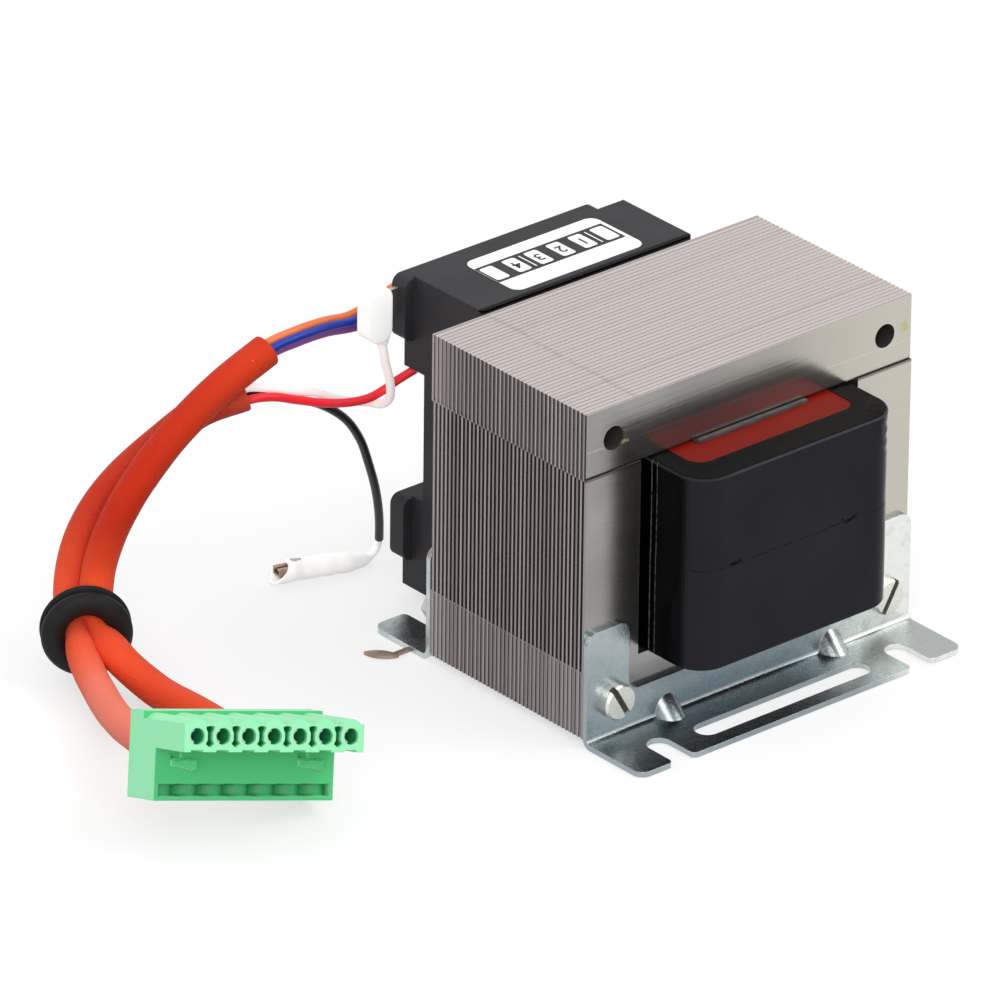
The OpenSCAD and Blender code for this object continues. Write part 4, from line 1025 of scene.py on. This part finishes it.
class TRANSFORMER_OT_plug(bpy.types.Operator):
    """Mould the plug, seat its contacts and finish its clamp screws"""
    bl_idname = "transformer.plug"
    bl_label = "Plug"

    def execute(self, context):
        green = tuple(context.scene.transformer_plug.green)
        grid = plug_shell()
        rows, cols = grid.shape[:2]
        caps = end_caps(rows, cols)
        shell = piece("plug_shell", grid, grid_faces(rows, cols), caps, sharp=32)
        shell.data.materials.append(plug_skin(green).material)
        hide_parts("plug_body")
        rings = plug_springs()
        count, steps, corners = rings.shape[:3]
        first = (np.arange(count) * steps * corners)[:, None, None]
        faces = (grid_faces(steps, corners)[None] + first).reshape(-1, 4)
        springs = piece("plug_springs", rings, faces, sharp=40)
        springs.data.materials.append(plain("contact_tin", (0.62, 0.60, 0.55), 0.25, 1.0).material)
        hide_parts("plug_contacts")
        wear(plain("clamp_steel", (0.66, 0.66, 0.60), 0.3, 1.0, 0.08), ["plug_clamp_screws"])
        return {"FINISHED"}


class TRANSFORMER_OT_covers(bpy.types.Operator):
    """Shape the soft white covers of the push-on terminals"""
    bl_idname = "transformer.covers"
    bl_label = "Terminal covers"

    def execute(self, context):
        white = cover_skin(context.scene.transformer_leads)
        wear(white, ["flag_cover"])
        wall, hollow, squash, slant = 0.5, 8.0, 0.85, 1.9
        line = spline(ROUTES["loose_cover"])
        s = arc_length(line)
        end = s[-1] - 1.0
        shape = np.array([0.36, 0.30, 0.36, 0.74, 0.92, 0.93, 1.0, 1.04, 0.92]) * 2.3
        outside_s = np.linspace(0, end, 90)
        dents = 0.13 * np.sin(outside_s * 1.1) * np.sin(outside_s * 0.6)
        outside_r = np.interp(outside_s, s[::PER_SPAN], shape) + dents
        inside_s = np.array([end, end - 0.1, end - hollow])
        inside_r = outside_r[-1] - np.array([wall / 2, wall, wall])
        stations, radii = np.concatenate([outside_s, inside_s]), np.concatenate([outside_r, inside_r])
        cover = tube_piece("terminal_cover_loose", line, stations, radii, 32, UP,
                           squash, slant)
        cover.data.materials.append(white.material)
        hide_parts("loose_terminal_cover")
        return {"FINISHED"}


class TRANSFORMER_OT_stage(bpy.types.Operator):
    """Set the floor, the light and the camera"""
    bl_idname = "transformer.stage"
    bl_label = "Stage"

    def execute(self, context):
        settings = context.scene.transformer_stage
        context.scene.view_settings.view_transform = "Standard"
        self.floor(settings.floor)
        self.sky(settings.sky)
        self.lamp("key", (0.75, -0.85, 1.25), 1.0, settings.key)
        self.lamp("fill", (-0.9, -0.95, 0.8), 0.9, settings.key)
        self.camera(settings.lens)
        return {"FINISHED"}

    def floor(self, half):
        """A white square a little under the feet. Its paint keeps the shadow, lifted to white where it is
        seen."""
        drop = 0.0002
        corners = [(-half, -half, -drop), (half, -half, -drop), (half, half, -drop), (-half, half, -drop)]
        mesh = bpy.data.meshes.new("floor")
        mesh.from_pydata(corners, [], [(0, 1, 2, 3)])
        f = Finish("floor_white", Base_Color=(0.36, 0.36, 0.36, 1), Roughness=0.9,
                   Specular_IOR_Level=0.0, Emission_Strength=0.62)
        f.feed(Emission_Color=f.mix(f.seen(), (0, 0, 0), (1, 1, 1)))
        mesh.materials.append(f.material)
        floor = bpy.data.objects.new("floor", mesh)
        bpy.context.scene.collection.objects.link(floor)

    def sky(self, strength):
        """White all round at full strength where it is seen, and at its own strength as light."""
        world = bpy.data.worlds.new("studio")
        bpy.context.scene.world = world
        world.use_nodes = True
        tree = Tree(world.node_tree)
        white = (1, 1, 1, 1)
        light = tree.node("ShaderNodeBackground", None, {"Color": white, "Strength": strength})
        backdrop = tree.node("ShaderNodeBackground", None, {"Color": white, "Strength": 1.0})
        blend = tree.node("ShaderNodeMixShader", None, {0: tree.seen(), 1: light, 2: backdrop})
        tree.tree.links.new(blend.socket, tree.tree.nodes["World Output"].inputs["Surface"])

    def lamp(self, name, at, width, power):
        """A round lamp that looks at the transformer."""
        target = (0, 0, 0.03)
        data = bpy.data.lights.new(name, "AREA")
        data.shape = "DISK"
        data.size = width
        data.energy = power
        lamp = bpy.data.objects.new(name, data)
        away = unit(np.subtract(at, target))
        lamp.matrix_world = self.stand(at, unit(np.cross(UP, away)), away)
        bpy.context.scene.collection.objects.link(lamp)

    def stand(self, at, right, away):
        """The place of a lamp or camera from its right hand and the direction that it looks away from."""
        place = np.eye(4)
        place[:3, :3] = np.stack([right, np.cross(away, right), away], 1)
        place[:3, 3] = at
        return Matrix(place.tolist())

    def camera(self, lens):
        """A long lens, far off: the view's turn, rise and roll, and the sight line of the picture's middle,
        from the pixel that the aim is seen at."""
        turn, rise, roll, distance = -0.7265994, 0.4680330, 0.0187404, 2.2643327
        aim, focal = np.array([0, 0, 0.03275]), 12967.326
        aim_pixel, middle_pixel = (670.657, 474.782), 500
        flat = math.cos(rise)
        back = np.array([math.sin(turn) * flat, -math.cos(turn) * flat, math.sin(rise)])
        level = unit(np.cross(UP, back))
        upright = np.cross(back, level)
        right = math.cos(roll) * level + math.sin(roll) * upright
        up = math.cos(roll) * upright - math.sin(roll) * level
        sight = -focal * back + (middle_pixel - aim_pixel[0]) * right - (middle_pixel - aim_pixel[1]) * up
        sight = unit(sight)
        right = unit(right - right.dot(sight) * sight)
        data = bpy.data.cameras.new("photo_view")
        data.lens = lens
        data.sensor_width = 36
        data.clip_end = 20
        camera = bpy.data.objects.new("photo_view", data)
        camera.matrix_world = self.stand(aim + distance * back, right, -sight)
        bpy.context.scene.collection.objects.link(camera)
        bpy.context.scene.camera = camera


class TRANSFORMER_PT_panel(bpy.types.Panel):
    """Shows the settings, and the steps in the order in which they run"""
    bl_idname = "TRANSFORMER_PT_panel"
    bl_label = "Transformer"
    bl_space_type = "VIEW_3D"
    bl_region_type = "UI"
    bl_category = "Transformer"

    def draw(self, context):
        for key in SETTINGS:
            box = self.layout.box()
            group = getattr(context.scene, key)
            for name in group.__annotations__:
                box.prop(group, name)
        for step in STEPS:
            self.layout.operator(step.bl_idname)


SETTINGS = {
    "transformer_core": CoreSettings,
    "transformer_coil": CoilSettings,
    "transformer_housing": HousingSettings,
    "transformer_leads": LeadSettings,
    "transformer_plug": PlugSettings,
    "transformer_stage": StageSettings,
}
STEPS = (
    TRANSFORMER_OT_stage, TRANSFORMER_OT_grommet, TRANSFORMER_OT_plug, TRANSFORMER_OT_covers,
    TRANSFORMER_OT_leads, TRANSFORMER_OT_sleeves, TRANSFORMER_OT_core, TRANSFORMER_OT_brackets,
    TRANSFORMER_OT_coil, TRANSFORMER_OT_housing)


def register():
    for group in SETTINGS.values():
        bpy.utils.register_class(group)
    for step in (*STEPS, TRANSFORMER_PT_panel):
        bpy.utils.register_class(step)
    for key, group in SETTINGS.items():
        setattr(bpy.types.Scene, key, bpy.props.PointerProperty(type=group))


def unregister():
    for key in SETTINGS:
        delattr(bpy.types.Scene, key)
    for step in (TRANSFORMER_PT_panel, *reversed(STEPS)):
        bpy.utils.unregister_class(step)
    for group in reversed(list(SETTINGS.values())):
        bpy.utils.unregister_class(group)


def main():
    register()
    bpy.ops.transformer.stage()
    bpy.ops.transformer.grommet()
    bpy.ops.transformer.plug()
    bpy.ops.transformer.covers()
    bpy.ops.transformer.leads()
    bpy.ops.transformer.sleeves()
    bpy.ops.transformer.core()
    bpy.ops.transformer.brackets()
    bpy.ops.transformer.coil()
    bpy.ops.transformer.housing()


if __name__ == "__main__":
    main()
